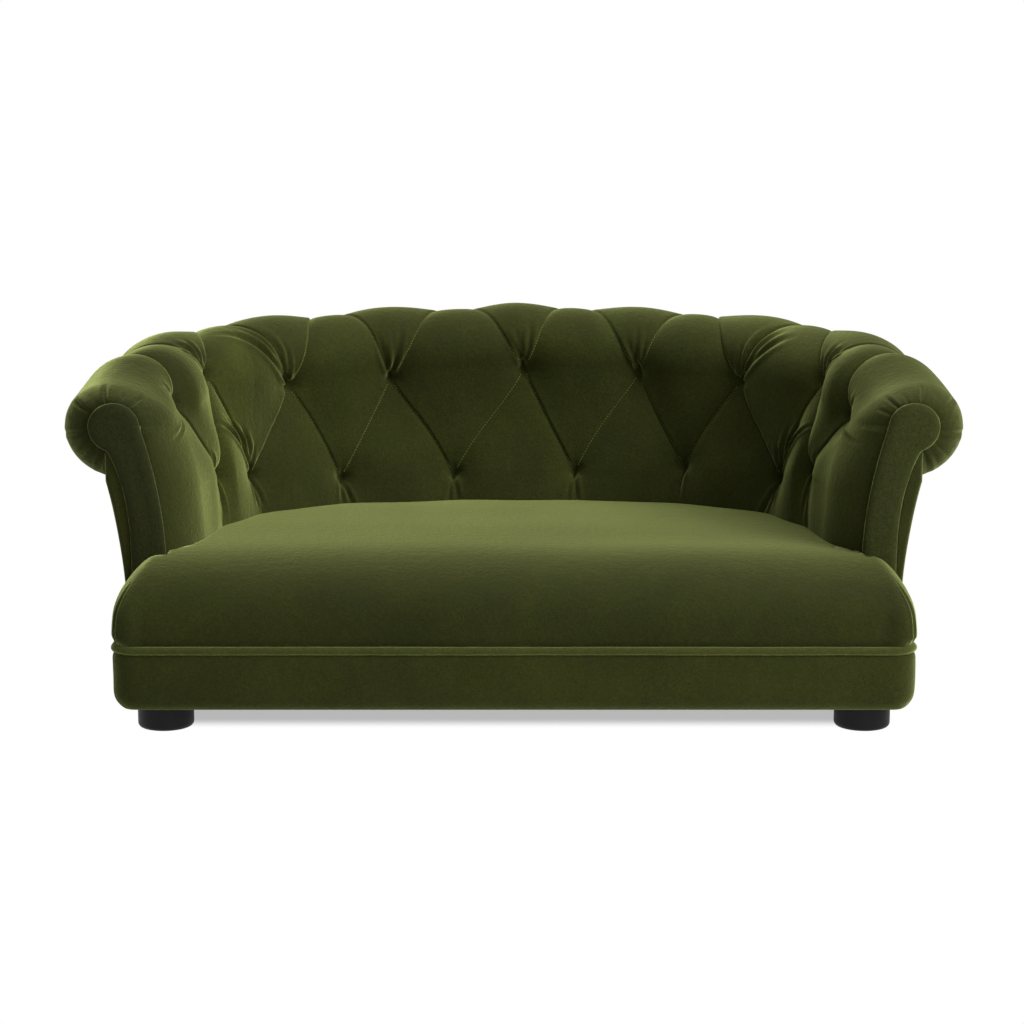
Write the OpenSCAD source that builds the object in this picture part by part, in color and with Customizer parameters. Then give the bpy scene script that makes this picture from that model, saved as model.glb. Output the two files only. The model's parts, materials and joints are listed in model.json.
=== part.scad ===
// Dog sofa bed: a horseshoe back that sweeps into rolled arms, deep diamond tufting,
// a fixed crowned seat, a padded base band and four low round feet.
// Millimetres, +X to the sitter's right as seen from the front, +Y to the back, +Z up.
// The origin is at floor level under the middle of the whole sofa.
// Depths are counted from the front face of the base band, heights from the floor.

/* [Plan] */
// Width of the base over its padded band
base_w = 812; // [700:2:1000]
// Depth of the base over its padded band
base_d = 517; // [460:1:640]
// Depth at which the sides begin to curve round to the back
curve_start = 100; // [96:1:130]
// Squareness of the horseshoe: 2 is an ellipse, more is squarer
plan_power = 2.5; // [2.2:0.1:3]
// Radius of the base's front corners
corner_r = 24; // [20:1:34]

/* [Base] */
// Height of the gap between the floor and the base band
base_gap = 28; // [24:1:50]
// Height of the base band
band_h = 54; // [46:1:80]
// Thickness of the padded base band
band_t = 7; // [5:0.5:9]
// Width of the band's hem that turns under the frame
hem_w = 11; // [8:1:14]
// Thickness of the hem
hem_t = 1.7; // [1.2:0.1:1.9]
// Diameter of the welt between band and seat
welt_d = 8.4; // [6:0.2:11]
// Thickness of the frame rails
rail_t = 18; // [15:1:22]
// Thickness of the plywood seat deck
deck_t = 12; // [9:1:15]
// Height of the centre rail
centre_rail_h = 34; // [28:1:38]
// Side of the square corner blocks
block_w = 66; // [60:1:72]
// Height of the corner blocks
block_h = 38; // [32:1:44]

/* [Feet] */
// Diameter of a foot
foot_d = 57; // [48:1:62]
// Rounding of a foot's lower edge
foot_round = 5; // [3:0.5:8]
// Distance of a front foot's middle from the side of the base
foot_side = 50; // [46:1:58]
// Depth of the middle of the front feet
foot_front = 42; // [40:1:56]
// Distance of a back foot's middle from the middle of the sofa
back_foot_x = 215; // [180:1:225]
// Distance of a back foot's middle from the back of the base
back_foot_in = 89; // [87:1:115]

/* [Seat] */
// Height of the seat's edge above the welt, before its crown
seat_rise = 72; // [64:1:84]
// Extra height of the crown in the middle of the seat
seat_crown = 9; // [4:1:16]
// How far the seat stands back from the band
seat_inset = 3.5; // [2:0.5:8]
// Length of the rounded nose along the front edge
nose_front = 90; // [70:1:110]
// Length of the rounded nose along the side edges
nose_side = 55; // [45:1:65]
// Thickness of the foam slab in the seat
slab_t = 52; // [40:1:56]

/* [Arms and back] */
// Radius of the roll over the crown of its tufts, at the back
roll_r_back = 56; // [52:1:60]
// The same at the front of the arms
roll_r_arm = 64; // [56:1:68]
// Radius of the foam core inside the roll
core_r = 22; // [18:1:24]
// Height of the roll's middle at the back
roll_back_z = 339; // [320:1:380]
// How much lower the roll's middle lies at the front of the arms
roll_drop = 33; // [18:1:40]
// How far the roll's middle lies outside the plan line at the back
roll_out_back = 2; // [0:1:6]
// The same at the front of the arms
roll_out_arm = 0; // [-4:1:2]
// How far the core lies outside and below the roll's middle at the front of the arms
core_shift = 5; // [3:1:7]
// Distance of the inside face from the plan line, at the deck, at the back
wall_in_back = 84; // [76:1:90]
// The same at the front of the arms
wall_in_arm = 74; // [70:1:80]
// Inner face of the framed wall at the deck, from the plan line
frame_in_low = 46; // [42:1:50]
// Inner face of the framed wall at the rail, from the plan line
frame_in_high = 22; // [20:1:26]
// Outer face of the outside covers at the welt, from the plan line
out_low = 4; // [2:1:6]
// Flare of the outside covers at the roll, beyond the plan line
out_high = 15; // [14:1:16]
// Thickness of the cover of the outside walls with its wadding
cover_t = 3; // [2:0.5:4]
// Thickness of the outer boards
outer_board_t = 3; // [2:0.5:3.5]
// Thickness of the foam between liner and tufted pad
back_foam_t = 10; // [8:1:12]
// Thickness of the liners
liner_t = 4; // [3:0.5:5]
// Thickness of the wall posts
post_t = 12; // [9:1:13]
// Width of the wall posts
post_w = 36; // [28:2:40]
// Length of the rounding where the arm pads turn in behind the facings
end_r = 32; // [26:1:36]

/* [Tufting] */
// Diamonds from the middle of the back to the front end of an arm
diamonds = 4.5; // [4.5:1:5.5]
// Height of a pillow's crown above its folds
tuft_crown = 10; // [6:0.5:12]
// Extra depth of a tuft below the folds
tuft_dip = 4; // [2:0.5:5]

/* [Arm fronts] */
// Depth of the front of the arm facings
facing_depth = 90; // [86:1:94]
// Thickness of the padded facings
facing_t = 8; // [6:1:10]
// Radius of the scroll head of a facing
facing_r = 26; // [24:1:28]
// Width of a facing at the seat
facing_w = 36; // [34:1:40]
// Thickness of the plywood arm fronts
arm_board_t = 18; // [15:1:20]

/* [Hardware] */
// Diameter of a foot screw
foot_screw_d = 5; // [4:0.5:6]
// Length of a foot screw
foot_screw_l = 44; // [38:1:50]
// Diameter of deck and rail screws
screw_d = 4; // [3:0.5:5]
// Length of deck and rail screws
screw_l = 36; // [30:1:40]
// Diameter of a tufting tie
tie_d = 2.4; // [1.6:0.2:3]
// Diameter of the washers that hold the ties
washer_d = 18; // [14:1:22]

/* [Hidden] */

// Clearances and overrun, the step for a direction, and a length that counts as nothing
gap = 0.3;
overrun = 1;
probe_share = 0.001;
tiny = 0.001;

// Colours
VELVET = [0.27, 0.31, 0.13];
VELVET_DARK = [0.20, 0.23, 0.10];
FOAM = [0.93, 0.88, 0.70];
PLY = [0.80, 0.66, 0.46];
PINE = [0.86, 0.73, 0.52];
STEEL = [0.70, 0.71, 0.72];
BLACK = [0.13, 0.13, 0.14];
TWINE = [0.90, 0.88, 0.80];

// Heights of the stack, from the floor up
band_top = base_gap + band_h;
frame_z = base_gap + hem_t + gap;
welt_z = band_top + gap + welt_d / 2;
deck_top = welt_z + welt_d / 2;
deck_z = deck_top - deck_t;
seat_z = deck_top + gap;

// Plan: the plan line runs round the outside of the base band
half_w = base_w / 2;
curve_d = base_d - curve_start;
path_front = facing_depth + facing_t + gap;
total_d = base_d + roll_out_back + roll_r_back;
mid_depth = total_d / 2;
frame_off = -(band_t + gap);
rail_off = frame_off - rail_t;

// The horseshoe as points with their outward normals, from the middle of the back to the front
path_steps = 90;
side_normal = [1, 0];
function curve_point(angle) =
    [half_w * pow(sin(angle), 2 / plan_power), curve_start + curve_d * pow(cos(angle), 2 / plan_power)];
function curve_normal(p) =
    let (
        gx = pow(p.x / half_w, plan_power - 1) / half_w,
        gy = pow(max(p.y - curve_start, 0) / curve_d, plan_power - 1) / curve_d
    )
    [gx, gy] / norm([gx, gy]);
curve_points = [for (i = [0:path_steps]) curve_point(90 * i / path_steps)];
path_points = concat(curve_points, [[half_w, path_front], [half_w, corner_r]]);
path_normals = concat([for (p = curve_points) curve_normal(p)], [side_normal, side_normal]);

// Distances are measured along the tufted face, where the upholsterer marks the diamonds
measure_off = -(wall_in_back + frame_in_high) / 2;
marked = [for (i = [0:len(path_points) - 1]) path_points[i] + measure_off * path_normals[i]];
function run(points, i = 0, total = 0) =
    i == len(points) - 1 ? [total]
    : concat([total], run(points, i + 1, total + norm(points[i + 1] - points[i])));
path_runs = run(marked);
front_run = path_runs[path_steps + 1];
pitch = front_run / diamonds;
u_corner = path_runs[path_steps + 2] / pitch;

// The back pad meets the arm pads on a row-one tuft
u_split = 2.5;
x_of = [for (i = [0:len(path_runs) - 1]) [path_runs[i], path_points[i].x]];
y_of = [for (i = [0:len(path_runs) - 1]) [path_runs[i], path_points[i].y - mid_depth]];
nx_of = [for (i = [0:len(path_runs) - 1]) [path_runs[i], path_normals[i].x]];
ny_of = [for (i = [0:len(path_runs) - 1]) [path_runs[i], path_normals[i].y]];

// A frame is a place on the plan line and its outward normal, u diamonds from the middle of
// the back; left of the middle u is negative. A section point is [offset outside the line, height].
function mirrored(f) = [-f[0], f[1], -f[2], f[3]];
function right_frame(s) = [lookup(s, x_of), lookup(s, y_of), lookup(s, nx_of), lookup(s, ny_of)];
function frame(u) = u < 0 ? mirrored(right_frame(-u * pitch)) : right_frame(u * pitch);
function on(f, off) = [f[0] + off * f[2], f[1] + off * f[3]];
function set(f, at) = [f[0] + at[0] * f[2], f[1] + at[0] * f[3], at[1]];
function place(u, at) = set(frame(u), at);
function mix(a, b, share) = a + (b - a) * share;
function clamp(x, low, high) = max(low, min(high, x));

// Stations along the wall, eight to a diamond, and closer where the arm pads turn in
cells = 8;
end_steps = 4;
board_run = arm_board_t + 2 * gap;
u_board = diamonds - board_run / pitch;
u_round = diamonds - end_r / pitch;
u_inner = u_round - 1 / cells / 2;
function stations(u0, u1) = [for (i = [ceil(u0 * cells):floor(u1 * cells)]) i / cells];
function opposite(us) = [for (u = us) -u];
back_us = stations(-u_split, u_split);
inner_arm_us = concat(stations(u_split, u_inner), [u_round, u_board]);
end_us = [for (k = [1:end_steps]) diamonds - end_r * (1 - sin(90 * k / end_steps)) / pitch];
arm_us = concat(stations(u_split, u_inner), [u_round], end_us);

// Section of the tufted wall: v is 0 at the deck, 1 and 2 and 3 at the rows of tufts,
// and 4 where the cover turns in under the roll
row_angle_back = 196;
row_angle_arm = 180;
third_row_angle = 35;
last_angle = -75;
low_row_back_share = 0.47;
low_row_arm_share = 0.68;
blend_power = 1.5;
drop_power = 1.3;
function along(u) = clamp(abs(u) / diamonds, 0, 1);
function blend(u) = pow(along(u), blend_power);
function roll_r(u) = mix(roll_r_back, roll_r_arm, blend(u));
function fold_r(u) = roll_r(u) - tuft_crown;
function roll_mid(u) =
    [mix(roll_out_back, roll_out_arm, blend(u)), roll_back_z - roll_drop * pow(along(u), drop_power)];
function core_mid(u) = roll_mid(u) + core_shift * blend(u) * [1, -1];
function row_angle(u) = mix(row_angle_back, row_angle_arm, blend(u));
function roll_angle(u, v) =
    v < 3 ? mix(row_angle(u), third_row_angle, v - 2) : mix(third_row_angle, last_angle, v - 3);
function around(mid, r, angle) = [mid[0] + r * cos(angle), mid[1] + r * sin(angle)];
function bezier(a, b, c, d, t) =
    a * pow(1 - t, 3) + 3 * b * pow(1 - t, 2) * t + 3 * c * (1 - t) * t * t + d * pow(t, 3);
function low_row_share(u) = mix(low_row_back_share, low_row_arm_share, blend(u));
function foot_point(u) = [-mix(wall_in_back, wall_in_arm, blend(u)), seat_z];
function wall_point(u, t) =
    let (
        foot = foot_point(u),
        top = around(roll_mid(u), fold_r(u), row_angle(u)),
        rise = (top[1] - foot[1]) / 3,
        lean = rise * tan(row_angle(u) - 180) / 2
    )
    bezier(foot, foot + [0, rise], top - [-lean, rise], top, t);
function fold_point(u, v) =
    v < 1 ? wall_point(u, v * low_row_share(u))
    : v < 2 ? wall_point(u, mix(low_row_share(u), 1, v - 1))
    : around(roll_mid(u), fold_r(u), roll_angle(u, v));

// Outward direction of the section, from two near points
function out_dir(u, v) =
    let (d = fold_point(u, v + probe_share) - fold_point(u, v - probe_share))
    [-d[1], d[0]] / norm(d);

// Pillows: in p and q the diamonds are unit squares and their folds are whole numbers.
// Below the first row and above the third the folds run straight, as channels.
pillow_power = 0.55;
tuft_spread = 0.16;
last_fade_share = 0.6;
function fold_p(u, v) = u + (clamp(v, 1, 3) - 2) / 2;
function fold_q(u, v) = u - (clamp(v, 1, 3) - 2) / 2;
function off_whole(x) = abs(x - round(x));
function pillow(u, v) = pow(abs(sin(180 * fold_p(u, v)) * sin(180 * fold_q(u, v))), pillow_power);
function tuft(u, v) =
    let (away = clamp(v, 1, 3) - v, p = off_whole(fold_p(u, v)), q = off_whole(fold_q(u, v)))
    exp(-(p * p + q * q + away * away) / (tuft_spread * tuft_spread));
function fade(v) = v < 1 ? v * v : v > 3 ? 1 - (v - 3) * last_fade_share : 1;
function swell(u, v) = fade(v) * tuft_crown * pillow(u, v) - tuft_dip * tuft(u, v);

// Outer side of the walls, a flare from the welt up to the underside of the roll
flare_power = 2.2;
board_out = out_high - cover_t - gap;
function out_line(share) = mix(-out_low, out_high, pow(share, flare_power));

// Inner side of the framed wall, and the tops of the rails in the back and in the arms
back_top = core_mid(u_split)[1] - gap;
arm_top = core_mid(diamonds)[1] - gap;
lean_run = arm_top - deck_top;
lean_angle = atan((frame_in_low - frame_in_high) / lean_run);
function frame_in(z) = -mix(frame_in_low, frame_in_high, (z - deck_top) / lean_run);

// The pad is drawn in towards its hidden side at the front end of an arm
end_share = 0.94;
function drawn_in(u) =
    let (left = clamp(1 - (diamonds - abs(u)) * pitch / end_r, 0, 1))
    end_share * (1 - sqrt(1 - left * left));
function core_reach(u, angle) =
    angle < 0 ? max(core_r, (board_out + 2 * gap - core_mid(u)[0]) / cos(angle)) : core_r;
function core_point(u, v) =
    v < 2 ? [frame_in(fold_point(u, v)[1]) - gap, fold_point(u, v)[1]]
    : around(core_mid(u), core_reach(u, roll_angle(u, v)), roll_angle(u, v));
function face_point(u, v) =
    mix(fold_point(u, v) + swell(u, v) * out_dir(u, v), core_point(u, v), drawn_in(u));

// Faces that join rings of points to one closed skin. Each ring runs up one side of a section,
// its first count_a points, and back down the other. The ends are closed by a zip of triangles
// between the two sides, and the whole is turned the right way round by its volume.
function flat(lists) = [for (list = lists) for (item = list) item];
function reversed(list) = [for (i = [len(list) - 1:-1:0]) list[i]];
function pick(a, b, c, d, crossed) = crossed ? [[a, b, c], [b, d, c]] : [[a, b, d], [a, d, c]];
function side_faces(rings, count, crossed, closed) =
    [for (i = [0:rings - (closed ? 1 : 2)]) for (j = [0:count - 1])
        let (a = i * count + j, b = i * count + (j + 1) % count, next = ((i + 1) % rings) * count)
        each pick(a, b, next + j, next + (j + 1) % count, crossed(i, j))];
function zip_step(i, count_a, count_b) = round(i * (count_b - 1) / (count_a - 1));
function end_faces(first, count, count_a) =
    let (count_b = count - count_a, last = first + count - 1)
    [for (i = [0:count_a - 2])
        let (j = zip_step(i, count_a, count_b))
        each concat(
            [[first + i, first + i + 1, last - j]],
            [for (k = [j + 1:1:zip_step(i + 1, count_a, count_b)]) [first + i + 1, last - k, last - k + 1]]
        )];
function flipped(faces) = [for (face = faces) [face[2], face[1], face[0]]];
function volume(points, faces) =
    [for (face = faces) cross(points[face[0]], points[face[1]]) * points[face[2]]] * [for (face = faces) 1];
straight = function(i, j) false;
module skin(rings, count_a, crossed = straight, closed = false) {
    count = len(rings[0]);
    points = flat(rings);
    last = (len(rings) - 1) * count;
    sides = side_faces(len(rings), count, crossed, closed);
    ends = closed ? [] : concat(flipped(end_faces(0, count, count_a)), end_faces(last, count, count_a));
    faces = concat(sides, ends);
    polyhedron(points, volume(points, faces) < 0 ? faces : flipped(faces));
}

// A wall piece swept through stations, up its first side and down its second
module wall(us, side_a, side_b, crossed = straight) {
    skin([for (u = us) [for (at = concat(side_a(u), side_b(u))) place(u, at)]], len(side_a(us[0])), crossed);
}

// A flat plank that follows a row of frames between two offsets, from z upwards
module plank(frames, off_in, off_out, z, h) {
    translate([0, 0, z]) linear_extrude(h)
        polygon(concat([for (f = frames) on(f, off_out)], [for (f = reversed(frames)) on(f, off_in)]));
}
function frames(us) = [for (u = us) frame(u)];

// Turns a child's +Z to the outward direction of the wall, square to its lean
module at_wall(u, t, z) {
    f = frame(u);
    translate(set(f, [frame_in(z) + t, z])) rotate([0, 0, atan2(f[3], f[2])]) rotate([0, 90 + lean_angle, 0])
        children();
}

// Tufted pads. A quad is split along the fold that runs through it, so that the folds stay sharp.
// The hidden side goes back over the roll foam and down the foam of the wall.
core_angles = [0, 45, 90, 135, 180];
row_vs = concat(
    [0, 1 / 3, 2 / 3],
    [for (i = [4:8]) i / 4],
    [for (i = [17:24]) i / 8],
    [for (i = [16:20]) i / 5]
);
function face_side(u) = [for (v = row_vs) face_point(u, v)];
function core_side(u, r) = [for (angle = core_angles) around(core_mid(u), r, angle)];
function hidden_side(u, top) = concat(
    [[board_out + gap, top + gap]],
    core_side(u, core_r + gap),
    [[frame_in(top) - gap, top + gap], [frame_in(seat_z) - gap, seat_z]]
);
module tufted_pad(us, top) {
    forward = us[1] > us[0];
    along_p = function(i, j)
        let (u = (us[i] + us[i + 1]) / 2, v = j < len(row_vs) - 1 ? (row_vs[j] + row_vs[j + 1]) / 2 : 0)
        (off_whole(fold_p(u, v)) < off_whole(fold_q(u, v))) == forward;
    color(VELVET) wall(us, function(u) face_side(u), function(u) hidden_side(u, top), along_p);
}
module back_pad() tufted_pad(back_us, back_top);
module right_arm_pad() tufted_pad(arm_us, arm_top);
module left_arm_pad() tufted_pad(opposite(arm_us), arm_top);

// Roll foam: an arch of the core's radius on the rail
module roll_foam(us, top) {
    color(FOAM) wall(us,
        function(u) reversed(core_side(u, core_r)),
        function(u) [[board_out, top + gap], [frame_in(top), top + gap]]);
}
module back_roll_foam() roll_foam(back_us, back_top);
module right_roll_foam() roll_foam(inner_arm_us, arm_top);
module left_roll_foam() roll_foam(opposite(inner_arm_us), arm_top);

// A layer of the framed wall, between the distances t0 and t1 behind the wall's inner side. Foam
// and liner are joined over a post, and their stations lie between the ties.
u_joint = u_split * 0.9;
function between(u0, u1) =
    concat([u0], [for (u = stations(u0, u1 - 1 / cells)) u + 1 / cells / 2], [u1]);
back_layer_us = between(-u_joint, u_joint);
arm_layer_us = between(u_joint, u_board);
function layer_side(t, top) = [for (z = [seat_z, top - rail_t - gap]) [frame_in(z) + t, z]];
module layer(us, t0, t1, top) {
    wall(us, function(u) layer_side(t0, top), function(u) reversed(layer_side(t1, top)));
}

// Ties through foam and liner at the first row of tufts
tie_play = 0.6;
last_tie = floor(u_board);
all_tie_us = [for (i = [-last_tie:last_tie - 1]) i + 1 / 2];
function tie_height(u) = fold_point(u, 1)[1];
module tie_holes(us) {
    for (u = all_tie_us) if (u >= min(us) && u <= max(us))
        at_wall(u, -liner_t, tie_height(u))
            cylinder(h = back_foam_t + 3 * liner_t, d = tie_d + 2 * tie_play, $fn = 24);
}
module foam_layer(us, top) {
    color(FOAM) difference() {
        layer(us, 0, back_foam_t, top);
        tie_holes(us);
    }
}
module back_foam() foam_layer(back_layer_us, back_top);
module right_arm_foam() foam_layer(arm_layer_us, arm_top);
module left_arm_foam() foam_layer(opposite(arm_layer_us), arm_top);

liner_in = back_foam_t + gap;
liner_out = liner_in + liner_t;
module liner(us, top) {
    color(PLY) difference() {
        layer(us, liner_in, liner_out, top);
        tie_holes(us);
    }
}
module back_liner() liner(back_layer_us, back_top);
module right_arm_liner() liner(arm_layer_us, arm_top);
module left_arm_liner() liner(opposite(arm_layer_us), arm_top);

// Each tie ends in a knot behind a washer on the liner
washer_t = 1.6;
knot_d = 6;
knot_l = 3;
knot_at = liner_out + gap + washer_t;
module tuft_ties() {
    color(TWINE) for (u = all_tie_us) {
        at_wall(u, 0, tie_height(u)) cylinder(h = knot_at + gap, d = tie_d, $fn = 16);
        at_wall(u, knot_at, tie_height(u)) cylinder(h = knot_l, d = knot_d, $fn = 16);
    }
}
module tie_washers() {
    color(STEEL) for (u = all_tie_us) at_wall(u, liner_out + gap, tie_height(u)) difference() {
        cylinder(h = washer_t, d = washer_d, $fn = 32);
        translate([0, 0, -overrun]) cylinder(h = washer_t + 2 * overrun, d = tie_d + 2 * tie_play, $fn = 24);
    }
}

// Top rails under the roll, with holes for the tacks of the second row and for the post screws
tack_head_d = 7;
tack_head_t = 0.7;
tack_d = 1.6;
tack_l = 12;
tack_play = 0.1;
tack_height_share = 0.6;
function whole_us(low, high) = [for (i = [-ceil(diamonds):ceil(diamonds)]) if (i > low && i < high) i];
back_tack_us = whole_us(-u_split, u_split);
arm_tack_us = whole_us(u_split, u_board);
module at_rail(u, top) {
    f = frame(u);
    translate(set(f, [frame_in(top), top - rail_t * tack_height_share])) rotate([0, 0, atan2(f[3], f[2])])
        rotate([0, 90, 0]) children();
}
module tacks(us, top) {
    color(STEEL) for (u = us) at_rail(u, top) {
        translate([0, 0, -tack_head_t]) cylinder(h = tack_head_t, d = tack_head_d, $fn = 24);
        translate([0, 0, -tack_head_t]) cylinder(h = tack_l, d = tack_d, $fn = 16);
    }
}
module tuft_tacks() {
    tacks(back_tack_us, back_top);
    tacks(arm_tack_us, arm_top);
    tacks(opposite(arm_tack_us), arm_top);
}

// Posts between liner and outer board, each one screwed down through its top rail. The ease is
// room for the curve of the liner in front of a straight post.
post_ease = 0.5;
post_in = liner_out + gap + post_ease;
half_post_u = post_w / pitch / 2;
back_post_shares = [-0.9, -0.3, 0.3, 0.9];
arm_post_share = 0.135;
back_post_us = u_split * back_post_shares;
arm_post_us = [mix(u_split, u_board, arm_post_share)];
function post_middle(z) = frame_in(z) + post_in + post_t / 2;
module post(u, top) layer([u - half_post_u, u + half_post_u], post_in, post_in + post_t, top);
module post_screw_hole(u, top) {
    translate(place(u, [post_middle(top - rail_t), top - screw_l - overrun]))
        cylinder(h = screw_l + 2 * overrun, d = screw_d + 2 * screw_play, $fn = 24);
    translate(place(u, [post_middle(top - rail_t), top - screw_head_t]))
        cylinder(h = screw_head_t + overrun, d = screw_head_d + 2 * screw_play, $fn = 32);
}
module post_with_hole(u, top) {
    difference() {
        post(u, top);
        post_screw_hole(u, top);
    }
}
module wall_posts() {
    color(PINE) {
        for (u = back_post_us) post_with_hole(u, back_top);
        for (u = concat(arm_post_us, opposite(arm_post_us))) post_with_hole(u, arm_top);
    }
}
module top_rail(us, top, tack_us, post_us) {
    color(PLY) difference() {
        plank(frames(us), frame_in(top), board_out, top - rail_t, rail_t);
        for (u = tack_us) at_rail(u, top)
            translate([0, 0, -overrun]) cylinder(h = tack_l + overrun, d = tack_d + 2 * tack_play, $fn = 16);
        for (u = post_us) post_screw_hole(u, top);
    }
}
module crest_rail() top_rail(back_us, back_top, back_tack_us, back_post_us);
module right_arm_rail() top_rail(inner_arm_us, arm_top, arm_tack_us, arm_post_us);
module left_arm_rail()
    top_rail(opposite(inner_arm_us), arm_top, opposite(arm_tack_us), opposite(arm_post_us));

// Screws: a countersunk head in its recess and a plain shank, pointing down from the origin
screw_play = 0.15;
screw_head_d = 8;
screw_head_t = 2.6;
module screw_shape(d, l) {
    translate([0, 0, -screw_head_t]) cylinder(h = screw_head_t, d = screw_head_d, $fn = 32);
    translate([0, 0, -l]) cylinder(h = l, d = d, $fn = 24);
}
module screw_hole(d, l) {
    translate([0, 0, -screw_head_t])
        cylinder(h = screw_head_t + overrun, d = screw_head_d + 2 * screw_play, $fn = 32);
    translate([0, 0, -l - overrun]) cylinder(h = l + overrun, d = d + 2 * screw_play, $fn = 24);
}

// Outside covers and the boards behind them, from the deck to the underside of the roll
out_shares = [0, 0.25, 0.45, 0.65, 0.8, 0.92, 1];
function under_roll(u) = face_point(u, 4)[1] - gap;
function out_side(u, t) =
    [for (share = out_shares) [out_line(share) - t, mix(seat_z, under_roll(u), share)]];
module outside_cover(us) {
    color(VELVET) wall(us, function(u) out_side(u, 0), function(u) reversed(out_side(u, cover_t)));
}
module outside_back() outside_cover(back_us);
module right_outside_arm() outside_cover(arm_us);
module left_outside_arm() outside_cover(opposite(arm_us));

function board_side(u, t, top) =
    concat(out_side(u, t), [[board_out - t + cover_t + gap, top - rail_t - gap]]);
module outer_board(us, top) {
    board_in = cover_t + gap;
    color(PLY) wall(us,
        function(u) board_side(u, board_in, top),
        function(u) reversed(board_side(u, board_in + outer_board_t, top)));
}
module outer_back_board() outer_board(back_us, back_top);
module right_outer_board() outer_board(inner_arm_us, arm_top);
module left_outer_board() outer_board(opposite(inner_arm_us), arm_top);

// Arm fronts: a plywood scroll that the pad is drawn over, and a padded facing before it
scroll_steps = 16;
scroll_last_angle = 6;
function scroll_arc(mid, r, a0, a1) =
    [for (i = [0:scroll_steps]) around(mid, r, mix(a0, a1, i / scroll_steps))];
module upright(points, depth, t) {
    translate([half_w, depth + t - mid_depth, 0]) rotate([90, 0, 0]) linear_extrude(t) polygon(points);
}
module arm_board_shape() {
    mid = core_mid((u_board + diamonds) / 2);
    drop = norm(core_mid(u_board) - core_mid(diamonds)) / 2;
    r = core_r - gap - drop;
    upright(
        concat(
            [[frame_in(seat_z), seat_z], [frame_in(arm_top), arm_top]],
            scroll_arc(mid, r, 180, scroll_last_angle),
            [[board_out, arm_top + 2 * gap]],
            reversed(out_side(u_round, cover_t + gap))
        ),
        path_front, arm_board_t);
}
module right_arm_board() color(PLY) arm_board_shape();
module left_arm_board() color(PLY) mirror([1, 0, 0]) arm_board_shape();

facing_out_low = 12;
facing_bend = 58;
facing_in_power = 1.9;
facing_out_power = 2.9;
facing_neck_angle = -75;
facing_steps = 8;
function facing_edge(low, high, power) =
    [for (i = [0:facing_steps]) let (share = i / facing_steps)
        [mix(low, high[0], pow(share, power)), mix(seat_z + facing_bend, high[1], share)]];
module facing_shape() {
    mid = core_mid(diamonds);
    low_in = -facing_out_low - facing_w;
    neck = around(mid, facing_r, facing_neck_angle);
    step = 180 / scroll_steps;
    upright(
        concat(
            [[low_in, seat_z]],
            facing_edge(low_in, around(mid, facing_r, 180), facing_in_power),
            scroll_arc(mid, facing_r, 180 - step, facing_neck_angle + step),
            reversed(facing_edge(-facing_out_low, neck, facing_out_power)),
            [[-facing_out_low, seat_z]]
        ),
        facing_depth, facing_t);
}
module right_facing() color(VELVET_DARK) facing_shape();
module left_facing() color(VELVET_DARK) mirror([1, 0, 0]) facing_shape();

// Seat cover: sections across the depth, one for each place across the width. A section has a
// rounded nose at the front, a crowned top, and ends at the foot of the tufted pads or, in the
// two wings, at the facings.
nose_power = 3;
nose_steps = 8;
top_steps = 6;
edge_dip = 5;
rear_share = 0.8;
seat_half = half_w - seat_inset;
seat_front = seat_inset;
back_edge = base_d - wall_in_back;
wing_steps = 7;
function side_ease(x) = clamp(1 - (seat_half - abs(x)) / nose_side, 0, 1);
function front_ease(depth) = clamp(1 - (depth - seat_front) / nose_front, 0, 1);
function nose_share(x, depth) =
    pow(max(1 - pow(side_ease(x), nose_power) - pow(front_ease(depth), nose_power), 0), 1 / nose_power);
function crown_share(x, depth) =
    (1 - pow(x / seat_half, 2)) * (1 - pow(clamp(2 * depth / back_edge - 1, -1, 1), 2) * rear_share);
function seat_height(x, depth) =
    seat_z + (seat_rise + seat_crown * crown_share(x, depth)) * nose_share(x, depth);
function front_start(x) =
    seat_front + nose_front * (1 - pow(1 - pow(side_ease(x), nose_power), 1 / nose_power));
function seat_section(x, rear) =
    let (
        start = front_start(x),
        nose_end = min(seat_front + nose_front, mix(start, rear, rear_share)),
        ease0 = front_ease(start),
        ease1 = front_ease(nose_end),
        turn = acos(clamp(pow(ease1 / ease0, nose_power / 2), 0, 1)),
        nose = [for (i = [1:nose_steps])
            seat_front + nose_front * (1 - ease0 * pow(cos(turn * i / nose_steps), 2 / nose_power))],
        top = [for (i = [1:top_steps]) mix(nose_end, rear, i / (top_steps + 1 / 2))]
    )
    [
        concat([[x, start, seat_z]], [for (d = concat(nose, top)) [x, d, seat_height(x, d)]],
            [[x, rear, seat_height(x, rear) - edge_dip]]),
        [[x, rear, seat_z], [x, mix(start, rear, 1 / 2), seat_z]]
    ];
seat_us = concat([for (u = stations(0, u_inner)) if (u * cells % 2 == 0) u], [u_round], end_us);
stem_feet = [for (u = seat_us) on(frame(u), face_point(u, 0)[0] - gap)];
stem_columns = [for (p = stem_feet) [p.x, p.y + mid_depth]];
stem_edge = stem_feet[len(stem_feet) - 1].x;
wing_columns = [for (i = [0:wing_steps])
    [mix(stem_edge + gap, seat_half - gap, sin(90 * i / wing_steps)), facing_depth - gap]];
right_columns = concat(stem_columns, wing_columns);
left_columns = [for (i = [len(right_columns) - 1:-1:1]) [-right_columns[i][0], right_columns[i][1]]];
module seat_form() {
    sections = [for (c = concat(left_columns, right_columns)) seat_section(c[0], c[1])];
    rings = [for (s = sections) [for (p = concat(s[0], s[1])) [p.x, p.y - mid_depth, p.z]]];
    skin(rings, len(sections[0][0]));
}

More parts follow.
